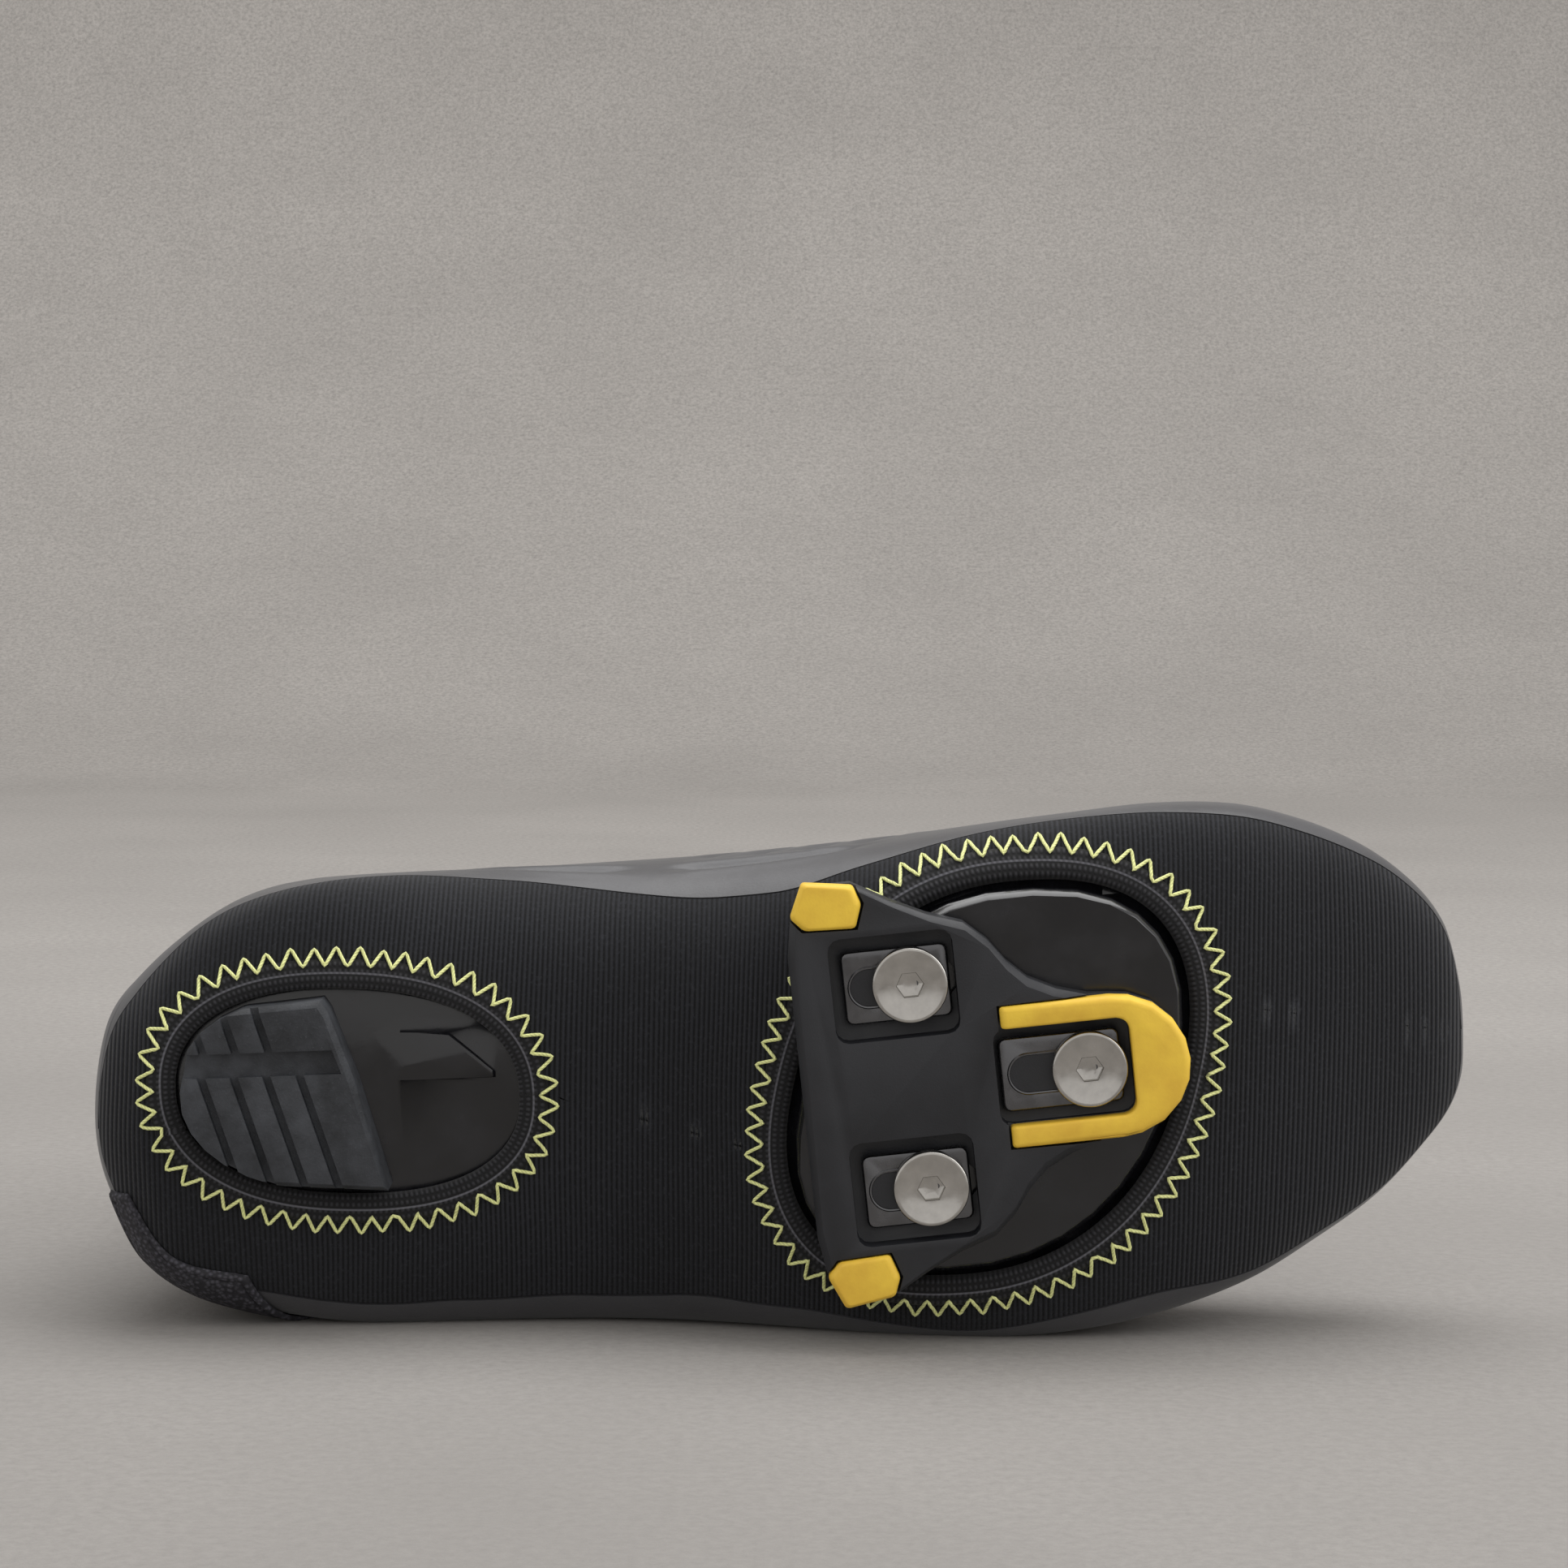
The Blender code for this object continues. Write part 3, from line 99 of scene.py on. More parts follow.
# Seen from below: shares of LENGTH along, of BALL_WIDTH across, outer side positive
OUTLINE = (
    ("along", "axis", "medial", "lateral"),
    (0.000, 0.033, 0.033, 0.033),
    (0.014, 0.032, -0.178, 0.206),
    (0.033, 0.030, -0.243, 0.300),
    (0.060, 0.027, -0.306, 0.354),
    (0.104, 0.022, -0.380, 0.397),
    (0.147, 0.016, -0.415, 0.425),
    (0.192, 0.011, -0.426, 0.445),
    (0.253, 0.006, -0.417, 0.449),
    (0.367, 0.000, -0.420, 0.455),
    (0.478, 0.000, -0.430, 0.468),
    (0.571, -0.003, -0.452, 0.485),
    (0.653, -0.007, -0.485, 0.494),
    (0.718, -0.011, -0.503, 0.483),
    (0.776, -0.016, -0.513, 0.455),
    (0.833, -0.022, -0.504, 0.410),
    (0.882, -0.027, -0.468, 0.346),
    (0.927, -0.033, -0.412, 0.275),
    (0.963, -0.038, -0.338, 0.188),
    (0.986, -0.042, -0.256, 0.118),
    (0.997, -0.044, -0.140, 0.054),
    (1.000, -0.044, -0.044, -0.044),
)
# Height of the underside: shares of TOE_SPRING, ARCH_HEIGHT and HEEL_HEIGHT
SOLE_LINE = (
    ("along", "spring", "arch", "heel"),
    (0.00, 0.00, 0.00, 1.00),
    (0.12, 0.00, 0.05, 1.00),
    (0.24, 0.00, 0.55, 0.90),
    (0.36, 0.00, 1.00, 0.55),
    (0.46, 0.00, 0.65, 0.20),
    (0.55, 0.00, 0.15, 0.03),
    (0.64, 0.00, 0.00, 0.00),
    (0.72, 0.02, 0.00, 0.00),
    (0.80, 0.14, 0.00, 0.00),
    (0.88, 0.42, 0.00, 0.00),
    (0.95, 0.76, 0.00, 0.00),
    (1.00, 1.03, 0.00, 0.00),
)
# Back of the heel and cuff: shares of CUFF_HEIGHT up, of LENGTH forward, and how far the sides narrow
BACK_LINE = (
    ("up", "back", "medial", "lateral"),
    (0.030, 0.056, 1.00, 1.00),
    (0.047, 0.035, 1.00, 1.00),
    (0.067, 0.019, 1.00, 1.00),
    (0.093, 0.008, 1.00, 1.00),
    (0.133, 0.001, 1.00, 1.00),
    (0.180, 0.000, 1.00, 1.00),
    (0.280, 0.003, 0.99, 0.98),
    (0.380, 0.012, 0.91, 0.95),
    (0.500, 0.026, 0.77, 0.94),
    (0.660, 0.041, 0.63, 0.97),
    (0.830, 0.049, 0.56, 1.02),
    (1.000, 0.052, 0.55, 1.06),
)
# Sections from toe to heel: under the sole they start at a share of LENGTH
FOOT_SECTIONS = (
    (1.0000, 0.090, 1.0000, 0.388, 0.50, 0.50, 1.0, 2.3),
    (0.9965, 0.055, 0.9965, 0.448, 0.50, 0.50, 1.0, 2.3),
    (0.9860, 0.024, 0.9860, 0.498, 0.49, 0.49, 1.0, 2.4),
    (0.9650, 0.006, 0.9650, 0.540, 0.48, 0.48, 1.0, 2.5),
    (0.9300, 0.000, 0.9300, 0.570, 0.46, 0.46, 1.0, 2.6),
    (0.8820, 0.000, 0.8820, 0.596, 0.42, 0.42, 1.0, 2.6),
    (0.8240, 0.000, 0.8250, 0.627, 0.38, 0.36, 1.0, 2.5),
    (0.7630, 0.000, 0.7700, 0.670, 0.34, 0.31, 1.0, 2.4),
    (0.6980, 0.000, 0.7110, 0.725, 0.30, 0.27, 1.0, 2.3),
    (0.6330, 0.000, 0.6560, 0.788, 0.33, 0.25, 1.0, 2.2),
    (0.5630, 0.000, 0.6010, 0.856, 0.42, 0.25, 1.0, 2.1),
    (0.4900, 0.000, 0.5500, 0.920, 0.48, 0.24, 1.0, 2.0),
    (0.4120, 0.000, 0.5060, 0.983, 0.49, 0.23, 1.0, 2.0),
    (0.3350, 0.000, 0.4720, 1.040, 0.46, 0.22, 1.0, 2.0),
    (0.2610, 0.000, 0.4470, 1.095, 0.39, 0.21, 1.0, 2.0),
    (0.1960, 0.000, 0.4290, 1.150, 0.31, 0.20, 1.0, 2.0),
    (0.1390, 0.000, 0.4150, 1.200, 0.24, 0.19, 1.0, 2.0),
    (0.0900, 0.000, 0.4050, 1.245, 0.19, 0.18, 1.0, 2.0),
)
# Sections round the heel and up the cuff: they start at a share of CUFF_HEIGHT on the back line
BACK_SECTIONS = (
    (0.040, 0.397, 0.684, 0.17, 0.17, 0.92, 2.0),
    (0.055, 0.391, 0.700, 0.17, 0.17, 0.70, 2.0),
    (0.078, 0.387, 0.714, 0.18, 0.18, 0.42, 2.0),
    (0.108, 0.383, 0.728, 0.21, 0.21, 0.18, 2.0),
    (0.147, 0.380, 0.742, 0.26, 0.26, 0.00, 2.0),
    (0.207, 0.377, 0.760, 0.33, 0.33, 0.00, 2.0),
    (0.293, 0.375, 0.785, 0.41, 0.41, 0.00, 2.1),
    (0.413, 0.375, 0.818, 0.46, 0.46, 0.00, 2.1),
    (0.560, 0.377, 0.858, 0.49, 0.49, 0.00, 2.2),
    (0.720, 0.381, 0.905, 0.50, 0.50, 0.00, 2.2),
    (0.870, 0.386, 0.953, 0.50, 0.50, 0.00, 2.2),
    (1.000, 0.390, 1.000, 0.50, 0.50, 0.00, 2.2),
)
# Height of the panel's seam over the underside, as shares of SEAM_HEIGHT
SEAM = (
    ("along", "medial", "lateral"),
    (0.00, 0.48, 0.48),
    (0.06, 0.60, 0.42),
    (0.12, 0.88, 0.32),
    (0.22, 1.10, 0.29),
    (0.30, 0.98, 0.29),
    (0.40, 0.72, 0.29),
    (0.50, 0.64, 0.35),
    (0.56, 0.80, 0.43),
    (0.62, 0.84, 0.48),
    (0.69, 0.80, 0.36),
    (0.76, 0.70, 0.31),
    (0.83, 0.58, 0.42),
    (0.90, 0.46, 0.42),
    (0.95, 0.38, 0.37),
    (1.00, 0.25, 0.25),
)
HEEL_HOLE = {
    "centre": (LENGTH * 0.190, BALL_WIDTH * -0.030), "size": (59.4, 36.4), "skew": 0.0, "slant": 0.07,
}
FOREFOOT_HOLE = {
    "centre": (LENGTH * 0.645, BALL_WIDTH * -0.022), "size": (68.0, 69.5), "skew": -0.25, "slant": 0.0,
}
HOLE_POWER = 2.3
PANEL_REACH = BINDING_WIDTH - 0.6
FIXED_FROM = 98.0

# Soft creases of the upper: side, from x and z, to x and z, depth, half width, in millimetres
CREASES = (
    ("inner", 64.0, 37.0, 100.0, 30.0, 0.70, 1.7), ("inner", 100.0, 30.0, 141.0, 23.5, 0.80, 1.7),
    ("inner", 108.0, 34.0, 121.0, 43.0, 0.45, 1.8), ("inner", 117.0, 31.0, 131.0, 41.0, 0.55, 1.7),
    ("inner", 126.0, 28.5, 141.0, 39.0, 0.50, 1.7), ("inner", 135.0, 26.0, 150.0, 35.0, 0.40, 1.8),
    ("inner", 84.0, 52.0, 118.0, 62.0, 0.70, 3.2), ("inner", 62.0, 66.0, 92.0, 80.0, 0.90, 3.6),
    ("inner", 40.0, 60.0, 66.0, 52.0, 0.60, 3.4), ("outer", 80.0, 56.0, 116.0, 64.0, 0.70, 3.2),
    ("outer", 58.0, 70.0, 90.0, 84.0, 0.90, 3.6), ("outer", 96.0, 34.0, 140.0, 40.0, 0.50, 3.0),
)

# The photograph's camera in shoe millimetres, and its focal length in pixels of the frame
CAMERA_PLACE = (126.5, -107.0, -665.7)
CAMERA_FORWARD = (-0.00285, 0.0784, 0.9969)
CAMERA_UP = (0.0362, -0.9963, 0.0785)
FOCAL_PIXELS = 4809.0
FRAME_PIXELS = 1932.0


# Shoe form


def named(table):
    """Columns of a table whose first row names them, as arrays."""
    return {name: np.array([row[i] for row in table[1:]], float) for i, name in enumerate(table[0])}


def curve(xs, ys, x):
    """Smooth curve through the points, held level past its ends."""
    x = np.clip(x, xs[0], xs[-1])
    i = np.clip(np.searchsorted(xs, x, side="right") - 1, 0, len(xs) - 2)
    number = np.arange(len(xs))
    before, after = np.maximum(number - 1, 0), np.minimum(number + 1, len(xs) - 1)
    slope = (ys[after] - ys[before]) / (xs[after] - xs[before])
    span = xs[i + 1] - xs[i]
    t = (x - xs[i]) / span
    rise = ys[i + 1] - ys[i]
    bend = slope[i] * span - rise
    unbend = rise - slope[i + 1] * span
    return ys[i] + rise * t + t * (1 - t) * (bend * (1 - t) + unbend * t)


OUT, LINE, BACK, EDGE = named(OUTLINE), named(SOLE_LINE), named(BACK_LINE), named(SEAM)
SQUARES = {side: (OUT[side] - OUT["axis"]) ** 2 for side in ("medial", "lateral")}


def axis_at(x):
    """Sideways place of the shoe's middle line."""
    return BALL_WIDTH * curve(OUT["along"], OUT["axis"], x / LENGTH)


def plan_width(side, x):
    """Half width of the outline seen from below."""
    return BALL_WIDTH * np.sqrt(np.maximum(curve(OUT["along"], SQUARES[side], x / LENGTH), 0.0))


def sole_height(x):
    """Height of the underside: heel, arch and toe spring."""
    heights = (("spring", TOE_SPRING), ("arch", ARCH_HEIGHT), ("heel", HEEL_HEIGHT))
    return sum(size * curve(LINE["along"], LINE[name], x / LENGTH) for name, size in heights)


def back_at(z):
    """Place of the heel's back line at a height."""
    return LENGTH * curve(BACK["up"], BACK["back"], z / CUFF_HEIGHT)


def section_rows():
    """All sections from toe to cuff, as bottom and top points with their shape values."""
    rows = []
    for under, lift, along, up, medial, lateral, edge, cap in FOOT_SECTIONS:
        low = (LENGTH * under, float(sole_height(LENGTH * under)) + INSTEP_HEIGHT * lift)
        rows.append(low + (LENGTH * along, INSTEP_HEIGHT * up, medial, lateral, edge, cap))
    for height, along, up, medial, lateral, edge, cap in BACK_SECTIONS:
        z = CUFF_HEIGHT * height
        rows.append((float(back_at(z)), z, LENGTH * along, CUFF_HEIGHT * up, medial, lateral, edge, cap))
    rows[0] = rows[0][:2] + rows[0][:2] + rows[0][4:]
    return np.array(rows)


ROWS = section_rows()
LAST = len(ROWS) - 1.0
STATIONS = np.arange(len(ROWS), dtype=float)


def section_at(s):
    """Section values at any place between the first row, 0, and the last."""
    values = [curve(STATIONS, ROWS[:, k], s) for k in range(ROWS.shape[1])]
    values[0] = np.where(s > len(FOOT_SECTIONS), back_at(values[1]), values[0])
    return values


def lofted(s, angle):
    """Surface through the sections: 0 is the bottom middle, 90 outward, -90 inward, 180 the top."""
    low_x, low_z, high_x, high_z, medial_rise, lateral_rise, edge, cap = section_at(s)
    outer = angle >= 0
    rise = np.where(outer, lateral_rise, medial_rise)
    turn = np.radians(np.minimum(np.abs(angle), 180.0))
    cosine = np.cos(turn)
    below = turn <= math.pi / 2
    level = np.where(
        below,
        rise * (1 - np.maximum(cosine, 0.0) ** (2 / SIDE_POWER)),
        rise + (1 - rise) * np.maximum(-cosine, 0.0) ** (2 / cap),
    )
    sine = np.maximum(np.sin(turn), 0.0)
    shape = np.where(below, 1 - edge * (1 - sine ** (2 / SIDE_POWER)), sine ** (2 / cap))
    x = low_x + (high_x - low_x) * level
    z = low_z + (high_z - low_z) * level
    fade = np.clip(2 - x / (LENGTH * 0.25), 0.0, 1.0)
    place = x - back_at(z) * fade
    width = np.where(outer, plan_width("lateral", place), plan_width("medial", place)) * shape
    narrow = [curve(BACK["up"], BACK[side], z / CUFF_HEIGHT) for side in ("lateral", "medial")]
    width = width * np.where(outer, *narrow)
    return np.stack([x, axis_at(x) + np.where(outer, width, -width), z], axis=-1)


def raw_surface(s, angle):
    """Outer surface before it rests, with the turn round the heel softened over the sides and top."""
    s, angle = np.broadcast_arrays(np.asarray(s, float), np.asarray(angle, float))
    reach = SIDE_SOFTENING * np.clip((np.abs(angle) - 55.0) / 45.0, 0.0, 1.0)
    reach = reach * np.clip((s - 7.0) / 4.0, 0.0, 1.0) * np.clip((LAST - s) / 4.0, 0.0, 1.0)
    return sum(lofted(s + reach * k, angle) * (4 - abs(k)) for k in range(-3, 4)) / 16


def bisected(low, high, below, rounds=24):
    """Place in each range up to which a test holds."""
    for _ in range(rounds):
        middle = (low + high) / 2
        test = below(middle)
        low, high = np.where(test, middle, low), np.where(test, high, middle)
    return (low + high) / 2


def station_under(x):
    """Section whose bottom point lies at x under the sole."""
    x = np.asarray(x, float)
    return bisected(0.0 * x, 0.0 * x + len(FOOT_SECTIONS), lambda s: section_at(s)[0] > x, 40)


def floor_plane():
    """Plane that heel edge, ball edge and cuff lie on, as a point and its downward normal."""
    contacts = []
    for s in (station_under(LENGTH * 0.20), station_under(LENGTH * 0.645), LAST):
        ring = raw_surface(s, np.arange(60, 132, 3))
        contacts.append(ring[np.argmax(ring[:, 1])])
    heel, ball, cuff = contacts
    normal = np.cross(cuff - heel, ball - heel)
    normal *= math.copysign(1.0, normal[1]) / np.linalg.norm(normal)
    return heel - normal * FLOOR_PRESS, normal


FLOOR_POINT, FLOOR_NORMAL = floor_plane()


def press(points):
    """Points kept on the shoe's side of the floor."""
    depth = np.maximum((points - FLOOR_POINT) @ FLOOR_NORMAL, 0.0)
    return points - depth[..., None] * FLOOR_NORMAL


def surface(s, angle):
    """Outer surface as it rests."""
    return press(raw_surface(s, angle))


def normal_at(s, angle):
    """Outward normal of the surface."""
    small, turn = 0.02, 1.5
    along = surface(np.minimum(s + small, LAST), angle) - surface(np.maximum(s - small, 0.0), angle)
    around = surface(s, angle + turn) - surface(s, angle - turn)
    normal = np.cross(along, around)
    size = np.linalg.norm(normal, axis=-1, keepdims=True)
    normal = np.where((size < 1e-9) | (np.asarray(s)[..., None] < 0.03), np.array([1.0, 0.0, 0.0]),
                      normal / np.maximum(size, 1e-12))
    cut = section_at(s)
    core = np.stack([(cut[0] + cut[2]) / 2, axis_at(cut[0]), cut[1] * 0.6 + cut[3] * 0.4], axis=-1)
    facing = np.sum(normal * (surface(s, angle) - core), axis=-1, keepdims=True)
    return np.where(facing < 0, -normal, normal)


def offset(s, angle, out):
    """Point at a distance outside the surface, or inside where it is negative."""
    s, angle = np.broadcast_arrays(np.asarray(s, float), np.asarray(angle, float))
    return surface(s, angle) + normal_at(s, angle) * np.asarray(out, float)[..., None]


def seam_height(side, shift):
    """Function of x for the seam's height on one side."""
    return lambda x: SEAM_HEIGHT * curve(EDGE["along"], EDGE[side], x / LENGTH) + shift


def angle_at_lift(s, sign, height):
    """Angle where a section passes a height over the underside."""
    def below(angle):
        point = raw_surface(s, sign * angle)
        return point[..., 2] - sole_height(point[..., 0]) < height(point[..., 0])

    s = np.asarray(s, float)
    found = bisected(0.0 * s, 0.0 * s + 100.0, below)
    return sign * np.where(below(0.0 * s), found, 0.0)


def closing_stations(height):
    """Stations near toe and heel where a section first lies wholly above a height."""
    found = []
    for inside, outside in ((4.0, 0.0), (len(FOOT_SECTIONS) - 1.0, len(FOOT_SECTIONS) + 5.0)):
        def below(share):
            point = surface(inside + (outside - inside) * share, 0.0)
            return point[2] - sole_height(point[0]) < height(point[0])

        found.append(inside + (outside - inside) * float(bisected(0.0, 1.0, below, 36)))
    return found


def hole_point(hole, turn, grow):
    """Point in plan on the edge of a cut-out, moved out by a distance."""
    def edge(value):
        c, s = np.cos(value), np.sin(value)
        dx = hole["size"][0] / 2 * np.sign(c) * np.abs(c) ** (2 / HOLE_POWER)
        dy = hole["size"][1] / 2 * np.sign(s) * np.abs(s) ** (2 / HOLE_POWER)
        return np.stack([hole["centre"][0] + dx + hole["skew"] * dy,
                         hole["centre"][1] + dy + hole["slant"] * dx], axis=-1)

    way = edge(turn + 0.02) - edge(turn - 0.02)
    way = way / np.linalg.norm(way, axis=-1, keepdims=True)
    across = np.stack([way[..., 1], -way[..., 0]], axis=-1)
    return edge(turn) + across * np.asarray(grow, float)[..., None]


def underside(x, y, out):
    """Point of the underside at a place in plan, moved outward by a distance."""
    x, y = np.asarray(x, float), np.asarray(y, float)
    sign = np.where(y >= axis_at(x), 1.0, -1.0)
    s = station_under(x)
    for _ in range(7):
        def nearer(angle):
            return np.abs(raw_surface(s, sign * angle)[..., 1] - axis_at(x)) < np.abs(y - axis_at(x))

        angle = sign * bisected(0.0 * x, 0.0 * x + 92.0, nearer)
        miss = raw_surface(s, angle)[..., 0] - x
        slope = np.maximum(section_at(s - 0.05)[0] - section_at(s + 0.05)[0], 0.4)
        s = s + miss / slope * 0.1
    return offset(s, angle, out)


# Placing and mesh making


def cleat_points(x, y, depth):
    """Shoe points of places in the cleat's own axes, depth measured down from its mounting face."""
    c, s = math.cos(CLEAT_TURN), math.sin(CLEAT_TURN)
    places = (CLEAT_MIDDLE[0] + x * c - y * s, CLEAT_MIDDLE[1] + x * s + y * c, CLEAT_MIDDLE[2] - depth)
    return np.stack(np.broadcast_arrays(*places), axis=-1)


def lying_matrix():
    """Matrix that lays the shoe down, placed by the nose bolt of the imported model."""
    up = -Vector(FLOOR_NORMAL)
    along = Vector((1.0, 0.0, 0.0))
    along = (along - up * along.dot(up)).normalized()
    turn = Matrix((along, up.cross(along), up)).to_4x4()
    low, high = (Vector(corner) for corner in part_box("cleat_bolt_nose"))
    middle = Vector(cleat_points(*NOSE_BOLT, sum(NOSE_BOLT_SPAN) / 2)) * MM
    return Matrix.Translation((low + high) / 2 - turn @ middle) @ turn @ Matrix.Scale(MM, 4)


LIE = lying_matrix()
LIE_ROWS = np.array(LIE)


def placed(points):
    """Shoe millimetres turned to the model's frame in metres."""
    points = np.asarray(points, float).reshape(-1, 3)
    return points @ LIE_ROWS[:3, :3].T + LIE_ROWS[:3, 3]


def new_mesh(name, points, faces, maps=None, weld=True):
    """Object in the model's frame from shoe points; maps gives each point its pattern place."""
    shape = bpy.data.meshes.new(name)
    shape.from_pydata(placed(points).tolist(), [], faces)
    if maps is not None:
        layer = shape.uv_layers.new(name="pattern")
        numbers = np.empty(len(shape.loops), int)
        shape.loops.foreach_get("vertex_index", numbers)
        layer.data.foreach_set("uv", (np.asarray(maps, float).reshape(-1, 2)[numbers] * MM).ravel())
    item = bpy.data.objects.new(name, shape)
    bpy.context.scene.collection.objects.link(item)
    if weld:
        work = bmesh.new()
        work.from_mesh(shape)
        bmesh.ops.remove_doubles(work, verts=work.verts, dist=0.004 * MM)
        bmesh.ops.recalc_face_normals(work, faces=work.faces)
        if work.calc_volume(signed=True) < 0:
            bmesh.ops.reverse_faces(work, faces=work.faces)
        work.to_mesh(shape)
        work.free()
    smooth(item, 50.0)
    return item


def smooth(item, angle):
    """Smooth shading with sharp edges kept past an angle."""
    bpy.ops.object.select_all(action="DESELECT")
    item.select_set(True)
    bpy.context.view_layer.objects.active = item
    bpy.ops.object.shade_smooth_by_angle(angle=math.radians(angle))


def quads(rows, columns, wrap_rows=False, wrap_columns=False, start=0):
    """Faces of a grid of points."""
    faces = []
    for i in range(rows if wrap_rows else rows - 1):
        for k in range(columns if wrap_columns else columns - 1):
            a, b = i * columns + k, i * columns + (k + 1) % columns
            c, d = ((i + 1) % rows) * columns + (k + 1) % columns, ((i + 1) % rows) * columns + k
            faces.append([start + a, start + b, start + c, start + d])
    return faces


def wall(name, patches):
    """Closed sheet from patches, each a pair of grids: its outer and its inner points."""
    points, faces = [], []
    total = sum(outer.shape[0] * outer.shape[1] for outer, _ in patches)
    start = 0
    for outer, inner in patches:
        rows, columns = outer.shape[:2]
        grid = quads(rows, columns, start=start)
        faces += grid + [[v + total for v in reversed(face)] for face in grid]
        points.append((outer.reshape(-1, 3), inner.reshape(-1, 3)))
        start += rows * columns
    edges = {}
    key = {}
    flat = np.concatenate([outer for outer, _ in points])
    names = [key.setdefault(tuple(np.round(point, 2)), i) for i, point in enumerate(flat)]
    for face in faces:
        if face[0] < total:
            for a, b in zip(face, face[1:] + face[:1]):
                edges.setdefault((names[a], names[b]), (a, b))
    for (a, b), (i, j) in edges.items():
        if a != b and (b, a) not in edges:
            faces.append([j, i, i + total, j + total])
    every = np.concatenate([flat] + [inner for _, inner in points])
    return new_mesh(name, every, faces)


def tube(name, path, normals, radius, sides=7):
    """Closed loop of thread along a path of shoe points."""
    along = np.roll(path, -1, axis=0) - np.roll(path, 1, axis=0)
    along /= np.linalg.norm(along, axis=1, keepdims=True)
    across = np.cross(along, normals)
    across /= np.linalg.norm(across, axis=1, keepdims=True)
    up = np.cross(across, along)
    turns = 2 * math.pi * np.arange(sides) / sides
    ring = across[:, None] * np.cos(turns)[:, None] + up[:, None] * np.sin(turns)[:, None]
    walked = np.cumsum(np.linalg.norm(np.diff(path, axis=0, prepend=path[:1]), axis=1))
    maps = np.stack(np.broadcast_arrays(walked[:, None], radius * turns), axis=-1)
    return swept(name, path[:, None] + ring * radius, maps=maps)


def slot_line(place, back, radius, steps=20):
    """Closed outline of a round ended slot that runs back from beside a bolt."""
    half = np.linspace(-math.pi / 2, math.pi / 2, steps)
    turns = np.concatenate([half, half + math.pi])
    ends = np.repeat([place[0] - 2.0, place[0] - back], steps)
    return ends + radius * np.cos(turns), place[1] + radius * np.sin(turns)


def swept(name, rings, closed=True, maps=None):
    """Closed solid through rings of points, joined end to end or capped."""
    rings = np.asarray(rings, float)
    count, size = rings.shape[:2]
    faces = quads(count, size, wrap_rows=closed, wrap_columns=True)
    if not closed:
        faces += [list(range(size))[::-1], list(range((count - 1) * size, count * size))]
    return new_mesh(name, rings, faces, maps)


def finished_copy(node, name, width, angle=28.0, segments=2):
    """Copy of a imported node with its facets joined, flat faces cleaned and edges rounded."""
    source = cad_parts[node]
    item = source.copy()
    item.data = source.data.copy()
    item.name = name
    item.parent = None
    item.hide_render = False
    bpy.context.scene.collection.objects.link(item)
    item.data.materials.clear()
    bpy.ops.object.select_all(action="DESELECT")
    item.select_set(True)
    bpy.context.view_layer.objects.active = item
    bpy.ops.object.mode_set(mode="EDIT")
    bpy.ops.mesh.select_all(action="SELECT")
    bpy.ops.mesh.remove_doubles(threshold=0.01 * MM)
    bpy.ops.mesh.dissolve_limited(angle_limit=math.radians(1.0))
    bpy.ops.mesh.normals_make_consistent(inside=False)
    bpy.ops.object.mode_set(mode="OBJECT")
    if width:
        step = item.modifiers.new("Rounded edges", "BEVEL")
        step.width = width * MM
        step.segments = segments
        step.limit_method = "ANGLE"
        step.angle_limit = math.radians(angle)
        bpy.ops.object.modifier_apply(modifier=step.name)
    smooth(item, 35.0)
    return item


def settled(item, slot, finish, *nodes):
    """Give a finished piece its surface and body, and hide the nodes it stands for. The slot is not used."""
    item.data.materials.clear()
    item.data.materials.append(finish)
    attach(item, "root")
    if nodes:
        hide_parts(*nodes)
    return item


# Materials


def linear(code):
    """Linear colour of an sRGB hex value."""
    parts = [int(code[i:i + 2], 16) / 255 for i in (1, 3, 5)]
    return tuple(c / 12.92 if c <= 0.04045 else ((c + 0.055) / 1.055) ** 2.4 for c in parts)


def scaled(colour, factor):
    """Colour made darker or lighter."""
    return tuple(min(c * factor, 1.0) for c in colour)


def add(tree, kind, settings=None, inputs=None, links=None):
    """Node with its settings, input values and incoming links."""
    node = tree.nodes.new(kind)
    for name, value in (settings or {}).items():
        setattr(node, name, value)
    for name, value in (inputs or {}).items():
        node.inputs[name].default_value = value
    for name, source in (links or {}).items():
        tree.links.new(source, node.inputs[name])
    return node


def new_finish(name, roughness, **values):
    """Material with its shader and its pattern coordinates."""
    finish = bpy.data.materials.new(name)
    finish.use_nodes = True
    tree = finish.node_tree
    shader = tree.nodes["Principled BSDF"]
    shader.inputs["Roughness"].default_value = roughness
    for key, value in values.items():
        shader.inputs[key.replace("_", " ")].default_value = value
    coordinates = add(tree, "ShaderNodeTexCoord")
    return finish, tree, shader, coordinates


def noise(tree, place, size, detail=3.0, rough=0.5):
    """Noise whose patches are about a size in millimetres."""
    values = {"Scale": 1.0 / (size * MM), "Detail": detail, "Roughness": rough}
    return add(tree, "ShaderNodeTexNoise", inputs=values, links={"Vector": place}).outputs["Fac"]


def blend(tree, share, first, second, low=0.0, high=1.0):
    """Mix of two colours where a value runs from low to high."""
    limits = {"From Min": low, "From Max": high}
    ramp = add(tree, "ShaderNodeMapRange", inputs=limits, links={"Value": share})
    node = add(tree, "ShaderNodeMix", {"data_type": "RGBA"}, links={0: ramp.outputs[0]})
    for number, value in ((6, first), (7, second)):
        if isinstance(value, bpy.types.NodeSocket):
            tree.links.new(value, node.inputs[number])
        else:
            node.inputs[number].default_value = (*value, 1.0)
    return node.outputs[2]


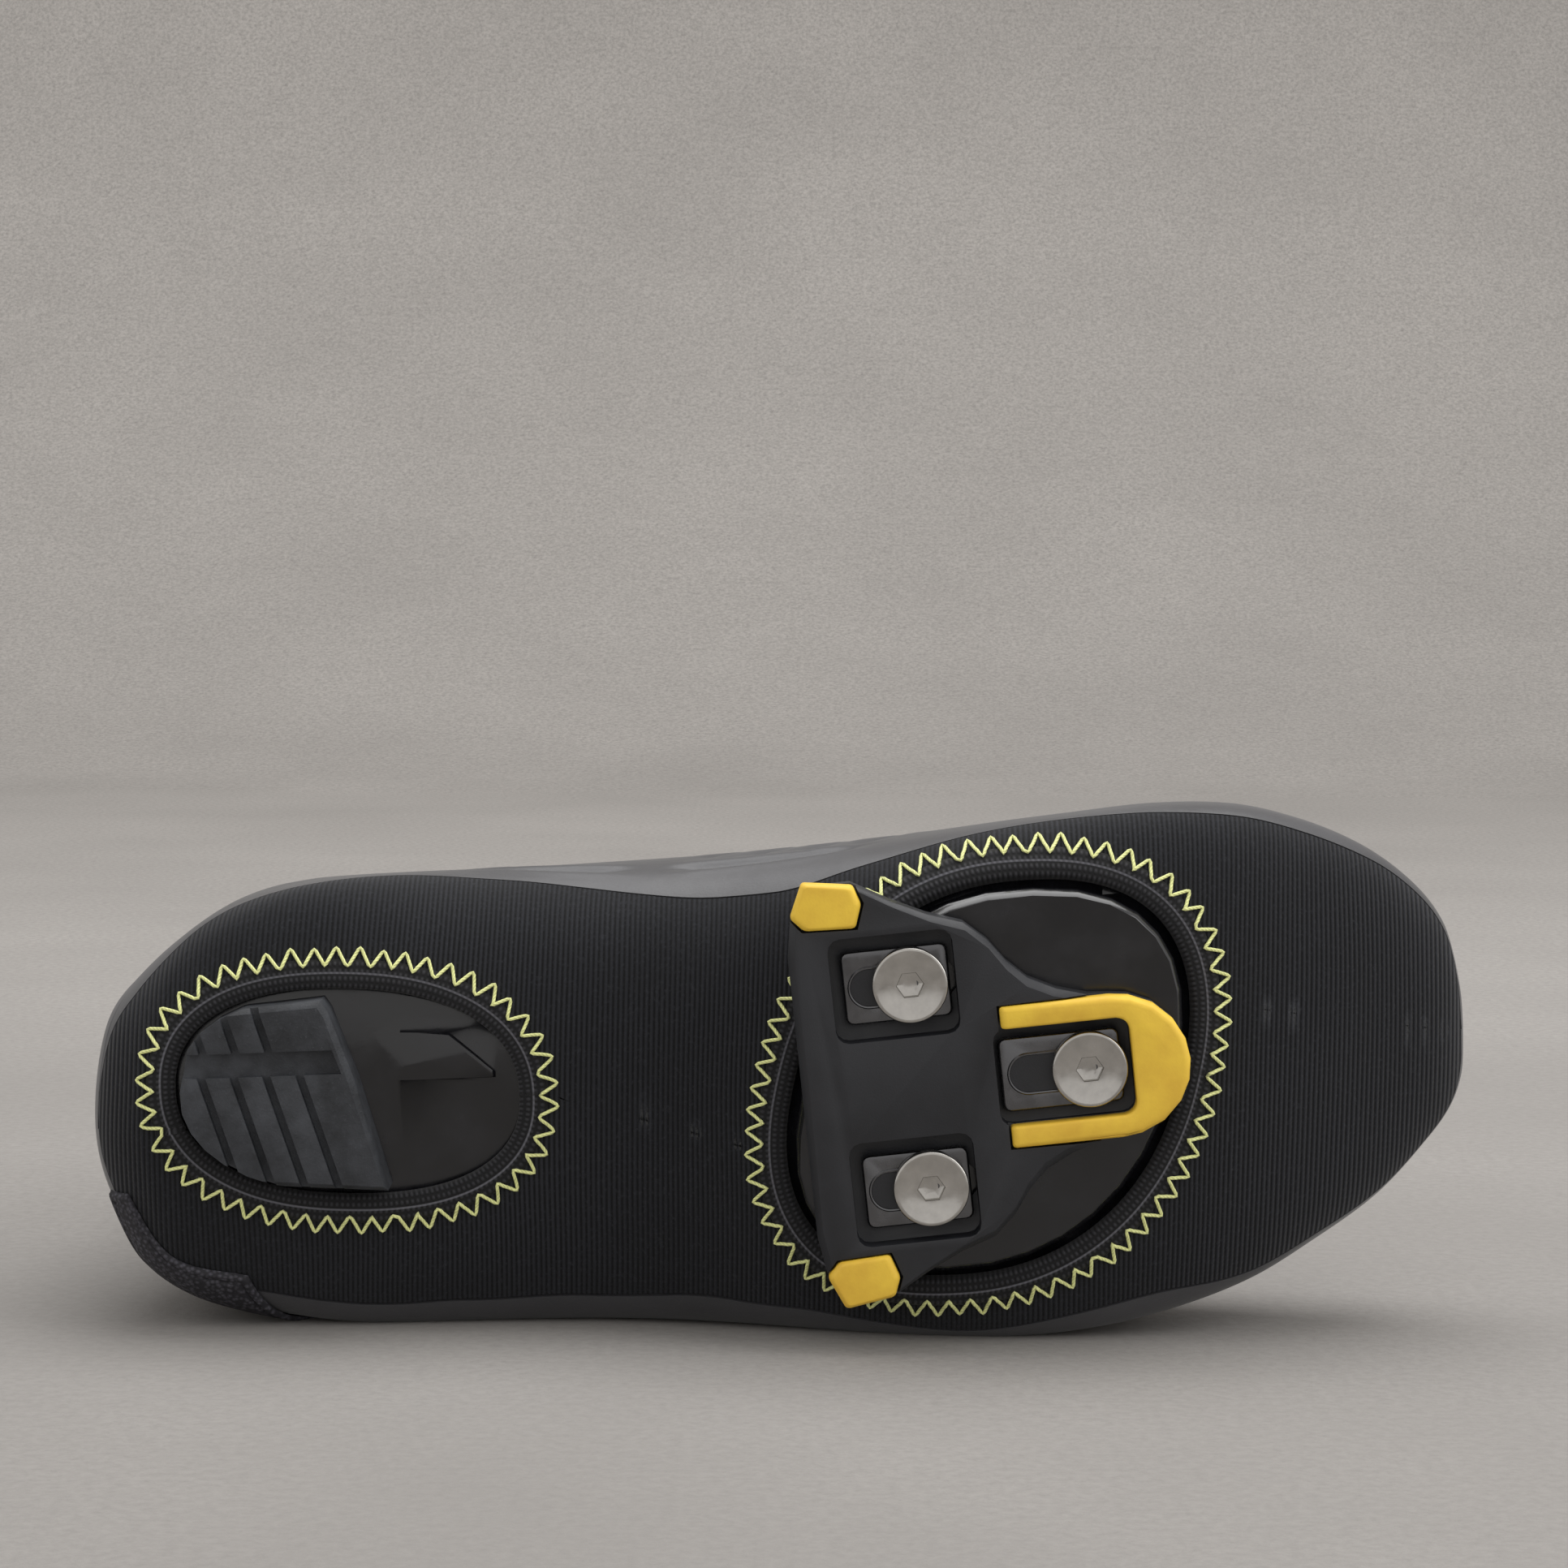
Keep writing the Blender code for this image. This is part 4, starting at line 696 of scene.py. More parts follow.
def remap(tree, value, low, high, start=0.0, end=1.0):
    """Value moved from one range to another."""
    limits = {"From Min": start, "From Max": end, "To Min": low, "To Max": high}
    return add(tree, "ShaderNodeMapRange", inputs=limits, links={"Value": value}).outputs[0]


def maths(tree, operation, first, second=None):
    """One arithmetic step on sockets or numbers."""
    node = add(tree, "ShaderNodeMath", {"operation": operation})
    for number, value in enumerate((first, second)):
        if isinstance(value, bpy.types.NodeSocket):
            tree.links.new(value, node.inputs[number])
        elif value is not None:
            node.inputs[number].default_value = value
    return node.outputs[0]


def raised(tree, shader, heights):
    """Bumps laid over each other, each a height socket with its depth in millimetres."""
    normal = None
    for height, depth in heights:
        links = {"Height": height}
        if normal is not None:
            links["Normal"] = normal
        node = add(tree, "ShaderNodeBump", inputs={"Strength": 1.0, "Distance": depth * MM}, links=links)
        normal = node.outputs["Normal"]
    tree.links.new(normal, shader.inputs["Normal"])


def ribs(tree, value, pitch):
    """Rounded ribs along a coordinate in metres, 1 at their tops."""
    phase = maths(tree, "MULTIPLY", value, 2 * math.pi / (pitch * MM))
    return remap(tree, maths(tree, "SINE", phase), 0, 1, -1, 1)


def split(tree, vector):
    """The three coordinates of a vector."""
    return add(tree, "ShaderNodeSeparateXYZ", links={"Vector": vector}).outputs


def ribbed_knit(looks, pitch):
    """Polyamide rib knit: matt black, fine ribs across the foot, each a row of small slanted loops, with
    painted shade darkening the grooves between the ribs.
    """
    finish, tree, shader, at = new_finish("polyamide_rib_knit", 0.88, Sheen_Weight=0.10, Sheen_Roughness=0.5,
                                          Specular_IOR_Level=0.22)
    place = at.outputs["Object"]
    x, _, z = split(tree, place)
    drift = maths(tree, "MULTIPLY", maths(tree, "SUBTRACT", noise(tree, place, 60.0, 1.0), 0.5), 4.0 * MM)
    rib = ribs(tree, maths(tree, "ADD", x, drift), pitch)
    loop = ribs(tree, maths(tree, "ADD", z, maths(tree, "MULTIPLY", rib, 0.45 * MM)), 0.9)
    patch = noise(tree, place, 34.0, 3.0)
    fuzz = noise(tree, place, 0.7, 4.0, 0.7)
    dark = blend(tree, patch, tuple(looks.knit), scaled(looks.knit, 1.5), 0.3, 0.75)
    # The grooves between the ribs are painted darker, down to 0.3 of the knit colour: painted shade.
    rib_groove_shaded_knit = blend(tree, rib, scaled(looks.knit, 0.30), dark, 0.1, 0.75)
    rib_groove_shaded_knit = blend(tree, fuzz, rib_groove_shaded_knit, scaled(looks.knit, 2.4), 0.52, 0.95)
    tree.links.new(rib_groove_shaded_knit, shader.inputs["Base Color"])
    raised(tree, shader, [(rib, 0.20), (loop, 0.012), (fuzz, 0.05)])
    return finish


def coated_stretch(looks):
    """Polyurethane coated stretch fabric: smooth dark grey film with a soft gloss over a fine weave."""
    finish, tree, shader, at = new_finish(
        "polyurethane_coated_stretch", 0.42, Sheen_Weight=0.12, Coat_Weight=0.10, Coat_Roughness=0.35,
        Specular_IOR_Level=0.45)
    place = at.outputs["Object"]
    patch = noise(tree, place, 26.0, 3.0)
    grain = noise(tree, place, 0.5, 2.0, 0.6)
    ripple = noise(tree, place, 9.0, 2.0)
    colour = blend(tree, patch, scaled(looks.cover, 0.85), scaled(looks.cover, 1.15), 0.3, 0.7)
    colour = blend(tree, grain, colour, scaled(looks.cover, 1.35), 0.55, 0.9)
    tree.links.new(colour, shader.inputs["Base Color"])
    tree.links.new(remap(tree, patch, 0.36, 0.50, 0.3, 0.7), shader.inputs["Roughness"])
    raised(tree, shader, [(ripple, 0.22), (grain, 0.03)])
    return finish


def elastic_tape(looks):
    """Woven elastic: black, crossed by fine cords, with painted shade in the gaps of the weave and a painted
    highlight on the cords, and a thin paler thread along its middle.
    """
    finish, tree, shader, at = new_finish(
        "woven_elastic_tape", 0.8, Sheen_Weight=0.1, Specular_IOR_Level=0.3)
    u, v, _ = split(tree, at.outputs["UV"])
    cords = ribs(tree, u, 0.95)
    lanes = ribs(tree, v, 1.25)
    middle = maths(tree, "ABSOLUTE", maths(tree, "SUBTRACT", v, BINDING_WIDTH / 2 * MM))
    thread = remap(tree, middle, 1.0, 0.0, 0.10 * MM, 0.24 * MM)
    mesh = maths(tree, "MULTIPLY", cords, lanes)
    # The gaps of the weave are painted darker (painted shade) and the cords lighter (painted highlight).
    colour = blend(tree, mesh, scaled(looks.elastic, 0.35), scaled(looks.elastic, 1.5), 0.1, 0.8)
    colour = blend(tree, thread, colour, scaled(looks.elastic, 5.0))
    tree.links.new(colour, shader.inputs["Base Color"])
    raised(tree, shader, [(mesh, 0.20), (noise(tree, at.outputs["Object"], 0.6), 0.05)])
    return finish


def sewing_thread(looks):
    """Spun polyester thread: pale lime, twisted, with a low shine and painted shade in the grooves of the
    twist.
    """
    finish, tree, shader, at = new_finish("spun_polyester_thread", 0.55, Sheen_Weight=0.2)
    u, v, _ = split(tree, at.outputs["UV"])
    twist = ribs(tree, maths(tree, "ADD", u, v), 0.8)
    # The grooves of the twist are painted at three quarters of the thread colour: painted shade.
    twist_groove_shade = scaled(looks.thread, 0.75)
    tree.links.new(blend(tree, twist, twist_groove_shade, tuple(looks.thread), 0.0, 0.7), shader.inputs["Base Color"])
    raised(tree, shader, [(twist, 0.06)])
    return finish


def foot_bed_fabric(looks):
    """Foam foot bed with a brushed fabric top."""
    finish, tree, shader, at = new_finish("brushed_foot_bed", 0.9, Sheen_Weight=0.2)
    nap = noise(tree, at.outputs["Object"], 0.5, 3.0)
    base = tuple(looks.cover)
    tree.links.new(blend(tree, nap, scaled(base, 0.6), base, 0.3, 0.7), shader.inputs["Base Color"])
    raised(tree, shader, [(nap, 0.08)])
    return finish


def tab_fabric(looks):
    """Rubber coated webbing: charcoal, covered with small raised grains, with painted highlights on the grains
    and painted shade between them.
    """
    finish, tree, shader, at = new_finish("rubber_coated_webbing", 0.7, Specular_IOR_Level=0.35)
    place = at.outputs["Object"]
    grains = {"Scale": 1 / (0.85 * MM)}
    cells = add(tree, "ShaderNodeTexVoronoi", inputs=grains, links={"Vector": place}).outputs[0]
    fine = noise(tree, place, 0.6, 3.0)
    # The raised grains are painted lighter (painted highlight) and the spaces between them darker (painted
    # shade).
    colour = blend(tree, cells, scaled(looks.tab, 1.9), scaled(looks.tab, 0.5), 0.1, 0.6)
    tree.links.new(colour, shader.inputs["Base Color"])
    raised(tree, shader, [(remap(tree, cells, 1.0, 0.0, 0.0, 0.7), 0.18), (fine, 0.06)])
    return finish


def sole_plastic(looks):
    """Moulded glass filled nylon: near black, glossy, with a few hazy scuffs."""
    finish, tree, shader, at = new_finish("moulded_nylon_sole", 0.16, Coat_Weight=0.25, Coat_Roughness=0.08)
    place = at.outputs["Object"]
    haze = noise(tree, place, 12.0, 4.0, 0.6)
    dust = noise(tree, place, 0.8, 4.0, 0.7)
    colour = blend(tree, haze, tuple(looks.sole), scaled(looks.sole, 2.2), 0.45, 0.75)
    tree.links.new(blend(tree, dust, colour, scaled(looks.sole, 5.0), 0.66, 0.9), shader.inputs["Base Color"])
    tree.links.new(remap(tree, haze, 0.12, 0.34, 0.35, 0.75), shader.inputs["Roughness"])
    raised(tree, shader, [(haze, 0.10), (dust, 0.01)])
    return finish


def pad_rubber(looks):
    """Moulded rubber: charcoal grey, sandy grain, paler where it has rubbed."""
    finish, tree, shader, at = new_finish("moulded_rubber_pad", 0.62, Specular_IOR_Level=0.4)
    place = at.outputs["Object"]
    worn = noise(tree, place, 7.0, 4.0, 0.65)
    sand = noise(tree, place, 0.45, 3.0, 0.7)
    colour = blend(tree, worn, scaled(looks.rubber, 0.7), scaled(looks.rubber, 1.7), 0.35, 0.7)
    colour = blend(tree, sand, colour, scaled(looks.rubber, 3.2), 0.6, 0.95)
    tree.links.new(colour, shader.inputs["Base Color"])
    raised(tree, shader, [(sand, 0.12), (worn, 0.12)])
    return finish


def cleat_plastic(name, colour, roughness, grain_size=0.35):
    """Moulded polyacetal: even colour, satin, with a fine spark-eroded grain and faint rubbing."""
    finish, tree, shader, at = new_finish(name, roughness, Specular_IOR_Level=0.45)
    place = at.outputs["Object"]
    worn = noise(tree, place, 9.0, 4.0, 0.6)
    grain = noise(tree, place, grain_size, 2.0, 0.6)
    base = tuple(colour)
    tree.links.new(blend(tree, worn, scaled(base, 0.82), scaled(base, 1.12), 0.3, 0.7),
                   shader.inputs["Base Color"])
    tree.links.new(remap(tree, worn, roughness - 0.08, roughness + 0.12, 0.3, 0.7), shader.inputs["Roughness"])
    raised(tree, shader, [(grain, 0.025), (worn, 0.05)])
    return finish


def plated_steel(name, colour, roughness):
    """Plated steel: zinc or black nickel over a turned or pressed face."""
    finish, tree, shader, at = new_finish(name, roughness, Metallic=1.0)
    place = at.outputs["Object"]
    haze = noise(tree, place, 3.0, 3.0, 0.6)
    base = tuple(colour)
    tree.links.new(blend(tree, haze, scaled(base, 0.8), base, 0.3, 0.7), shader.inputs["Base Color"])
    tree.links.new(remap(tree, haze, roughness * 0.75, roughness * 1.4, 0.3, 0.7), shader.inputs["Roughness"])
    raised(tree, shader, [(noise(tree, place, 0.25, 2.0), 0.004)])
    return finish


def seamless_paper(looks):
    """Matt grey backdrop paper: soft clouds, paper fibre and a fine grain, with painted shade that darkens the
    paper towards the front.
    """
    finish, tree, shader, at = new_finish("matt_backdrop_paper", 0.95, Specular_IOR_Level=0.1)
    place = at.outputs["Object"]
    cloud = noise(tree, place, 160.0, 4.0, 0.55)
    fibre = noise(tree, place, 2.2, 5.0, 0.75)
    base = tuple(looks.backdrop)
    _, y, _ = split(tree, place)
    # Towards the front of the floor the paper is painted darker, at about 0.6 of its colour: painted shade.
    far = blend(tree, cloud, scaled(base, 0.94), scaled(base, 1.06), 0.3, 0.7)
    near = blend(tree, cloud, scaled(base, 0.58), scaled(base, 0.68), 0.3, 0.7)
    colour = blend(tree, y, near, far, 0.1, 1.9)
    tree.links.new(blend(tree, fibre, scaled(base, 0.52), colour, 0.2, 0.62), shader.inputs["Base Color"])
    raised(tree, shader, [(fibre, 0.15)])
    return finish


# Sizes and colours that a user may change


def size(name, description, default, low, high):
    """Length that a user may change, in metres."""
    return FloatProperty(name=name, description=description, default=default, min=low, max=high,
                         unit="LENGTH", precision=5)


def tint(name, description, code):
    """Colour that a user may change."""
    return FloatVectorProperty(name=name, description=description, subtype="COLOR", min=0, max=1,
                               default=linear(code))


class OvershoeSizes(bpy.types.PropertyGroup):
    rib_pitch: size("Rib pitch", "Spacing of the underfoot panel's ribs", 0.00088, 0.0004, 0.003)
    zigzag_pitch: size("Zigzag pitch", "Length of one zigzag stitch along a cut-out", 0.0039, 0.002, 0.01)
    zigzag_inner: size("Zigzag inner reach", "Distance from an edge to the inner tips", 0.0036, 0.001, 0.005)
    zigzag_outer: size("Zigzag outer reach", "Distance from an edge to the outer tips", 0.0068, 0.005, 0.01)
    thread_width: size("Thread width", "Thickness of the zigzag thread", 0.00062, 0.0003, 0.001)


class OvershoeColours(bpy.types.PropertyGroup):
    knit: tint("Knit", "Ribbed underfoot knit", "#242529")
    cover: tint("Cover", "Coated upper fabric", "#434346")
    elastic: tint("Elastic", "Binding of the cut-outs", "#2b2b2e")
    thread: tint("Thread", "Zigzag stitching", "#fbffae")
    tab: tint("Heel tab", "Webbing at the heel", "#3d3c42")
    sole: tint("Sole", "Stiff sole", "#121215")
    rubber: tint("Rubber", "Heel pad", "#34363a")
    cleat: tint("Cleat", "Cleat body", "#26272b")
    yellow: tint("Cleat pads", "Contact pads of the cleat", "#ffcc45")
    bolt: tint("Bolts", "Bolt heads", "#bdbab5")
    washer: tint("Washers", "Washers under the bolts", "#6e6e70")
    backdrop: tint("Backdrop", "Paper under and behind the shoe", "#c2beba")


# Pieces


def edge_tables():
    """Inner edges of the panel on each side: along the cut-outs, and on the line that joins their ends."""
    xs = np.arange(0.0, LENGTH + 0.05, 0.1)
    edges = {}
    turns = np.linspace(0, 2 * math.pi, 721)
    loops = [hole_point(hole, turns, PANEL_REACH) for hole in (HEEL_HOLE, FOREFOOT_HOLE)]
    ends = [(0.0, float(axis_at(0.0)))]
    for loop in loops:
        ends += [tuple(loop[np.argmin(loop[:, 0])]), tuple(loop[np.argmax(loop[:, 0])])]
    ends.append((LENGTH, float(axis_at(LENGTH))))
    middle = np.interp(xs, *zip(*ends))
    for sign in (-1.0, 1.0):
        edge = middle.copy()
        for loop in loops:
            a, b = loop[:-1], loop[1:]
            for i in np.nonzero((xs > loop[:, 0].min()) & (xs < loop[:, 0].max()))[0]:
                hit = (a[:, 0] - xs[i]) * (b[:, 0] - xs[i]) <= 0
                share = (xs[i] - a[hit, 0]) / (b[hit, 0] - a[hit, 0])
                places = a[hit, 1] + (b[hit, 1] - a[hit, 1]) * share
                edge[i] = places.max() if sign > 0 else places.min()
        edges[sign] = edge
    return xs, edges


class OVERSHOE_OT_upper(bpy.types.Operator):
    """Make the coated upper: one hollow shell from the panel's seam to the cuff's hem"""
    bl_idname = "overshoe.upper"
    bl_label = "Coated upper"

    def execute(self, context):
        lateral, medial = (seam_height(side, MEETING_GAP / 2) for side in ("lateral", "medial"))
        toe, heel = closing_stations(lateral)
        stations = np.unique(np.concatenate([
            np.linspace(0.0, toe, 12), np.linspace(toe, toe + 1.0, 20),
            np.linspace(toe + 1.0, heel - 1.0, 186),
            np.linspace(heel - 1.0, heel, 22), np.linspace(heel, LAST, 70)]))
        start = angle_at_lift(stations, 1.0, lateral)
        end = -np.abs(angle_at_lift(stations, -1.0, medial))
        low, high = np.linspace(0.0, 1.0, 37)[:-1], np.linspace(0.0, 1.0, 32)
        sides = []
        for rim, sign in ((start, 1.0), (end, -1.0)):
            lower = rim[:, None] + (sign * FIXED_FROM - rim[:, None]) * low
            upper = np.broadcast_to(sign * (FIXED_FROM + (180.0 - FIXED_FROM) * high), (len(rim), len(high)))
            sides.append(np.concatenate([lower, upper], axis=1))
        angles = np.concatenate([sides[0], sides[1][:, -2::-1]], axis=1)
        s = np.broadcast_to(stations[:, None], angles.shape)
        hem = np.clip((section_at(s)[1] - CUFF_HEIGHT + HEM_HEIGHT) / 0.8, 0.0, 1.0)
        outer = press(offset(s, angles, HEM_STEP * hem + self.relief(s, angles)))
        inner = offset(s, angles, np.full(angles.shape, -COVER_WALL))
        upper = wall("upper_shell", [(outer, inner)])
        settled(upper, "cover_fabric", coated_stretch(context.scene.overshoe_colours), "upper")
        return {"FINISHED"}

    @staticmethod
    def relief(s, angles):
        """Height of the fabric's soft troughs, in millimetres, each with a low ridge on both sides."""
        place = raw_surface(s, angles)
        x, z = place[..., 0], place[..., 2]
        side = np.where(angles < 0, -1.0, 1.0)
        height = np.zeros(x.shape)
        for name, x0, z0, x1, z1, depth, width in CREASES:
            run = math.hypot(x1 - x0, z1 - z0)
            along = ((x - x0) * (x1 - x0) + (z - z0) * (z1 - z0)) / run ** 2
            across = ((x - x0) * (z1 - z0) - (z - z0) * (x1 - x0)) / run / width
            fade = np.clip(np.minimum(along, 1 - along) * 4, 0.0, 1.0)
            fade = fade * fade * (3 - 2 * fade) * (side == (-1.0 if name == "inner" else 1.0))
            height -= depth * fade * (1 - across ** 2) * np.exp(-across ** 2 / 1.4)
        return np.minimum(height, 0.3)


class OVERSHOE_OT_panel(bpy.types.Operator):
    """Make the ribbed underfoot panel with its two cut-outs"""
    bl_idname = "overshoe.panel"
    bl_label = "Underfoot panel"

    def execute(self, context):
        toe, heel = closing_stations(seam_height("lateral", -MEETING_GAP / 2))
        rise = np.linspace(0.0, 1.0, 30)
        stations = np.unique(np.concatenate([
            toe + 0.7 * rise ** 2, np.linspace(toe + 0.7, heel - 0.9, 420), heel - 0.9 * rise ** 2]))
        xs, edges = edge_tables()
        patches = []
        for sign, side in ((-1.0, "medial"), (1.0, "lateral")):
            outside = angle_at_lift(stations, sign, seam_height(side, -MEETING_GAP / 2))
            inside = self.inner_edge(stations, outside, sign, xs, edges[sign])
            angles = inside[:, None] + (outside - inside)[:, None] * np.linspace(0.0, 1.0, 22)
            if sign < 0:
                angles = angles[:, ::-1]
            s = np.broadcast_to(stations[:, None], angles.shape)
            patches.append((offset(s, angles, 0.0 * s), offset(s, angles, 0.0 * s - COVER_WALL)))
        panel = wall("panel_knit", patches)
        scene = context.scene
        finish = ribbed_knit(scene.overshoe_colours, scene.overshoe_sizes.rib_pitch / MM)
        settled(panel, "ribbed_knit", finish, "underfoot_panel")
        return {"FINISHED"}

    @staticmethod
    def inner_edge(stations, outside, sign, xs, edge):
        """Angle of the panel's inner edge, found from the rim inward."""
        share = np.linspace(0.0, 1.0, 420)
        angles = outside[:, None] + (-sign * 70.0 - outside)[:, None] * share
        points = raw_surface(stations[:, None], angles)
        gap = (points[..., 1] - np.interp(points[..., 0], xs, edge)) * sign
        first = np.maximum(np.argmax(gap <= 0, axis=1), 1)
        row = np.arange(len(stations))
        before, after = gap[row, first - 1], gap[row, first]
        part = np.clip(before / np.maximum(before - after, 1e-9), 0.0, 1.0)
        found = angles[row, first - 1] + (angles[row, first] - angles[row, first - 1]) * part
        return np.where(outside == 0.0, 0.0, found)


class OVERSHOE_OT_bindings(bpy.types.Operator):
    """Make the elastic bindings of both cut-outs and their zigzag stitching"""
    bl_idname = "overshoe.bindings"
    bl_label = "Bindings and stitching"

    def execute(self, context):
        looks, sizes = context.scene.overshoe_colours, context.scene.overshoe_sizes
        tape, thread = elastic_tape(looks), sewing_thread(looks)
        for hole, place in ((HEEL_HOLE, "heel"), (FOREFOOT_HOLE, "forefoot")):
            binding = self.binding(hole, place + "_binding_tape")
            settled(binding, "elastic_binding", tape, place + "_opening_binding")
            stitches = self.zigzag(hole, place + "_zigzag_thread", sizes)
            settled(stitches, "elastic_binding", thread)
        return {"FINISHED"}

    @staticmethod
    def binding(hole, name):
        """Tape folded over the edge: a rounded profile swept round the cut-out."""
        profile = np.array([
            (0.0, -COVER_WALL), (0.0, -0.6), (0.06, -0.05), (0.25, 0.28), (0.7, 0.48), (1.5, 0.55),
            (2.5, 0.58),
            (3.5, 0.55), (4.3, 0.46), (4.75, 0.26), (4.94, 0.0), (5.0, -0.4), (5.0, -COVER_WALL)])
        turns = np.linspace(0.0, 2 * math.pi, 401)[:-1]
        turn, grow = np.meshgrid(turns, profile[:, 0], indexing="ij")
        plan = hole_point(hole, turn, grow)
        rings = underside(plan[..., 0], plan[..., 1], np.broadcast_to(profile[:, 1], turn.shape))
        middle = rings[:, len(profile) // 2]
        steps = np.linalg.norm(np.diff(middle, axis=0, prepend=middle[-1:]), axis=1)
        along = np.broadcast_to(np.cumsum(steps)[:, None], turn.shape)
        return swept(name, rings, maps=np.stack([along, grow], axis=-1))

    @staticmethod
    def zigzag(hole, name, sizes):
        """Thread that crosses from the tape to the knit and back, as a fine tube."""
        fine = np.linspace(0.0, 2 * math.pi, 2001)
        line = hole_point(hole, fine, np.full(fine.shape, BINDING_WIDTH))
        length = np.concatenate([[0.0], np.cumsum(np.linalg.norm(np.diff(line, axis=0), axis=1))])
        count = round(length[-1] / (sizes.zigzag_pitch / MM))
        random = np.random.default_rng(11)
        cells = 6
        steps = np.arange(count * 2 * cells) / (2 * cells)
        beat = np.repeat(random.normal(0.0, 0.05, count), 2 * cells)
        turns = np.interp((steps + beat) * length[-1] / count, length, fine)
        phase = steps % 1.0
        wave = 1 - np.abs(2 * phase - 1)
        wave = np.clip((wave - 0.5) * 1.12 + 0.5, 0.03, 0.97)
        low, high = sizes.zigzag_inner / MM, sizes.zigzag_outer / MM
        reach = np.repeat(random.normal(0.0, 0.12, count), 2 * cells)
        grow = low + (high - low) * wave + reach * wave
        plan = hole_point(hole, turns, grow)
        thick = sizes.thread_width / MM / 2
        lift = 0.55 * np.clip((BINDING_WIDTH + 0.4 - grow) / 0.8, 0.0, 1.0) + thick * 0.55
        path = underside(plan[:, 0], plan[:, 1], lift)
        normal = underside(plan[:, 0], plan[:, 1], lift + 1.0) - path
        return tube(name, path, normal, thick)


class OVERSHOE_OT_heel_tab(bpy.types.Operator):
    """Make the edge stitched tab that wraps the outer heel edge"""
    bl_idname = "overshoe.heel_tab"
    bl_label = "Heel tab"

    def execute(self, context):
        first, last = float(station_under(TAB_FRONT)), len(FOOT_SECTIONS) + 2.4
        stations = np.linspace(first, last, 90)
        inner_line = self.crossing(stations)
        low = np.maximum(angle_at_lift(stations, 1.0, lambda x: TAB_LOW + 0.0 * x), inner_line)
        high = np.maximum(angle_at_lift(stations, 1.0, lambda x: TAB_HIGH + 0.0 * x), low + 10.0)
        share = np.linspace(0.0, 1.0, 60)
        angles = low[:, None] + (high - low)[:, None] * share
        s = np.broadcast_to(stations[:, None], angles.shape)
        base = offset(s, angles, np.full(angles.shape, MEETING_GAP))
        top = press(offset(s, angles, MEETING_GAP + TAB_THICKNESS * self.thickness(base)))
        tab = wall("heel_tab_webbing", [(top, base)])
        settled(tab, "tab_fabric", tab_fabric(context.scene.overshoe_colours), "heel_tab")
        return {"FINISHED"}

    @staticmethod
    def crossing(stations):
        """Angle where each section passes the tab's inner line under the sole."""
        def short(angle):
            return raw_surface(stations, angle)[..., 1] < TAB_INNER

        return bisected(0.0 * stations - 90.0, 0.0 * stations + 90.0, short)

    @staticmethod
    def thickness(base):
        """Share of the full thickness: round at the border, with a sewn groove inside it."""
        def run(points, axis):
            steps = np.linalg.norm(np.diff(points, axis=axis), axis=-1)
            start = np.zeros_like(np.take(steps, [0], axis))
            walked = np.concatenate([start, np.cumsum(steps, axis=axis)], axis)
            return np.minimum(walked, np.take(walked, [-1], axis) - walked)

        border = np.minimum(run(base, 0), run(base, 1))
        edge = np.sqrt(np.clip(border / 0.6, 0.02, 1.0))
        return edge * (1 - 0.45 * np.exp(-((border - 1.9) / 0.35) ** 2))


class OVERSHOE_OT_sole(bpy.types.Operator):
    """Finish the stiff sole, the heel pad and the insole that the cut-outs and the cuff show"""
    bl_idname = "overshoe.sole"
    bl_label = "Sole unit"

    def execute(self, context):
        looks = context.scene.overshoe_colours
        settled(finished_copy("outsole", "sole_plate", 0.0), "sole_plastic", sole_plastic(looks), "outsole")
        pad = finished_copy("heel_pad", "heel_pad_rubber", 0.45)
        settled(pad, "heel_rubber", pad_rubber(looks), "heel_pad")
        settled(finished_copy("insole", "foot_bed", 0.5), "insole_fabric", foot_bed_fabric(looks), "insole")
        return {"FINISHED"}


class OVERSHOE_OT_cleat(bpy.types.Operator):
    """Finish the cleat body, its yellow pads and its slotted washers"""
    bl_idname = "overshoe.cleat"
    bl_label = "Cleat"

    def execute(self, context):
        looks = context.scene.overshoe_colours
        body = cleat_plastic("moulded_polyacetal_black", looks.cleat, 0.42)
        yellow = cleat_plastic("moulded_polyurethane_yellow", looks.yellow, 0.48, 0.5)
        black_nickel = plated_steel("black_nickel_plated_steel", looks.washer, 0.24)
        settled(finished_copy("cleat_body", "cleat_shell", 0.35), "cleat_plastic", body, "cleat_body")
        for place in ("medial", "lateral", "nose"):
            pad = finished_copy("cleat_pad_" + place, "contact_pad_" + place, 0.6, segments=3)
            settled(pad, "cleat_pad_plastic", yellow, "cleat_pad_" + place)
            washer = finished_copy("cleat_washer_" + place, "slotted_washer_" + place, 0.18)
            settled(washer, "washer_steel", black_nickel, "cleat_washer_" + place)
        slots = {
            "medial": ((0.0, -REAR_BOLT[1]), SLOT_REACH_REAR), "lateral": (REAR_BOLT, SLOT_REACH_REAR),
            "nose": (NOSE_BOLT, SLOT_REACH_NOSE),
        }
        for place, (bolt, back) in slots.items():
            rim, recess = self.slot(place, bolt, back)
            settled(rim, "washer_steel", black_nickel)
            settled(recess, "cleat_plastic", body)
        return {"FINISHED"}

    @staticmethod
    def slot(place, bolt, back):
        """Pressed rim and dark floor of the slot that shows behind a bolt head."""
        x, y = slot_line(bolt, back, SLOT_RADIUS)
        path = cleat_points(x, y, WASHER_FACE)
        rim = tube("slot_rim_" + place, path, cleat_points(x, y, WASHER_FACE + 1.0) - path, SLOT_RIM_RADIUS)
        x, y = slot_line(bolt, back, SLOT_RADIUS - SLOT_FLOOR_INSET)
        floor = [cleat_points(x, y, WASHER_FACE + step) for step in (-0.3, 0.03)]
        return rim, swept("slot_floor_" + place, floor, closed=False)


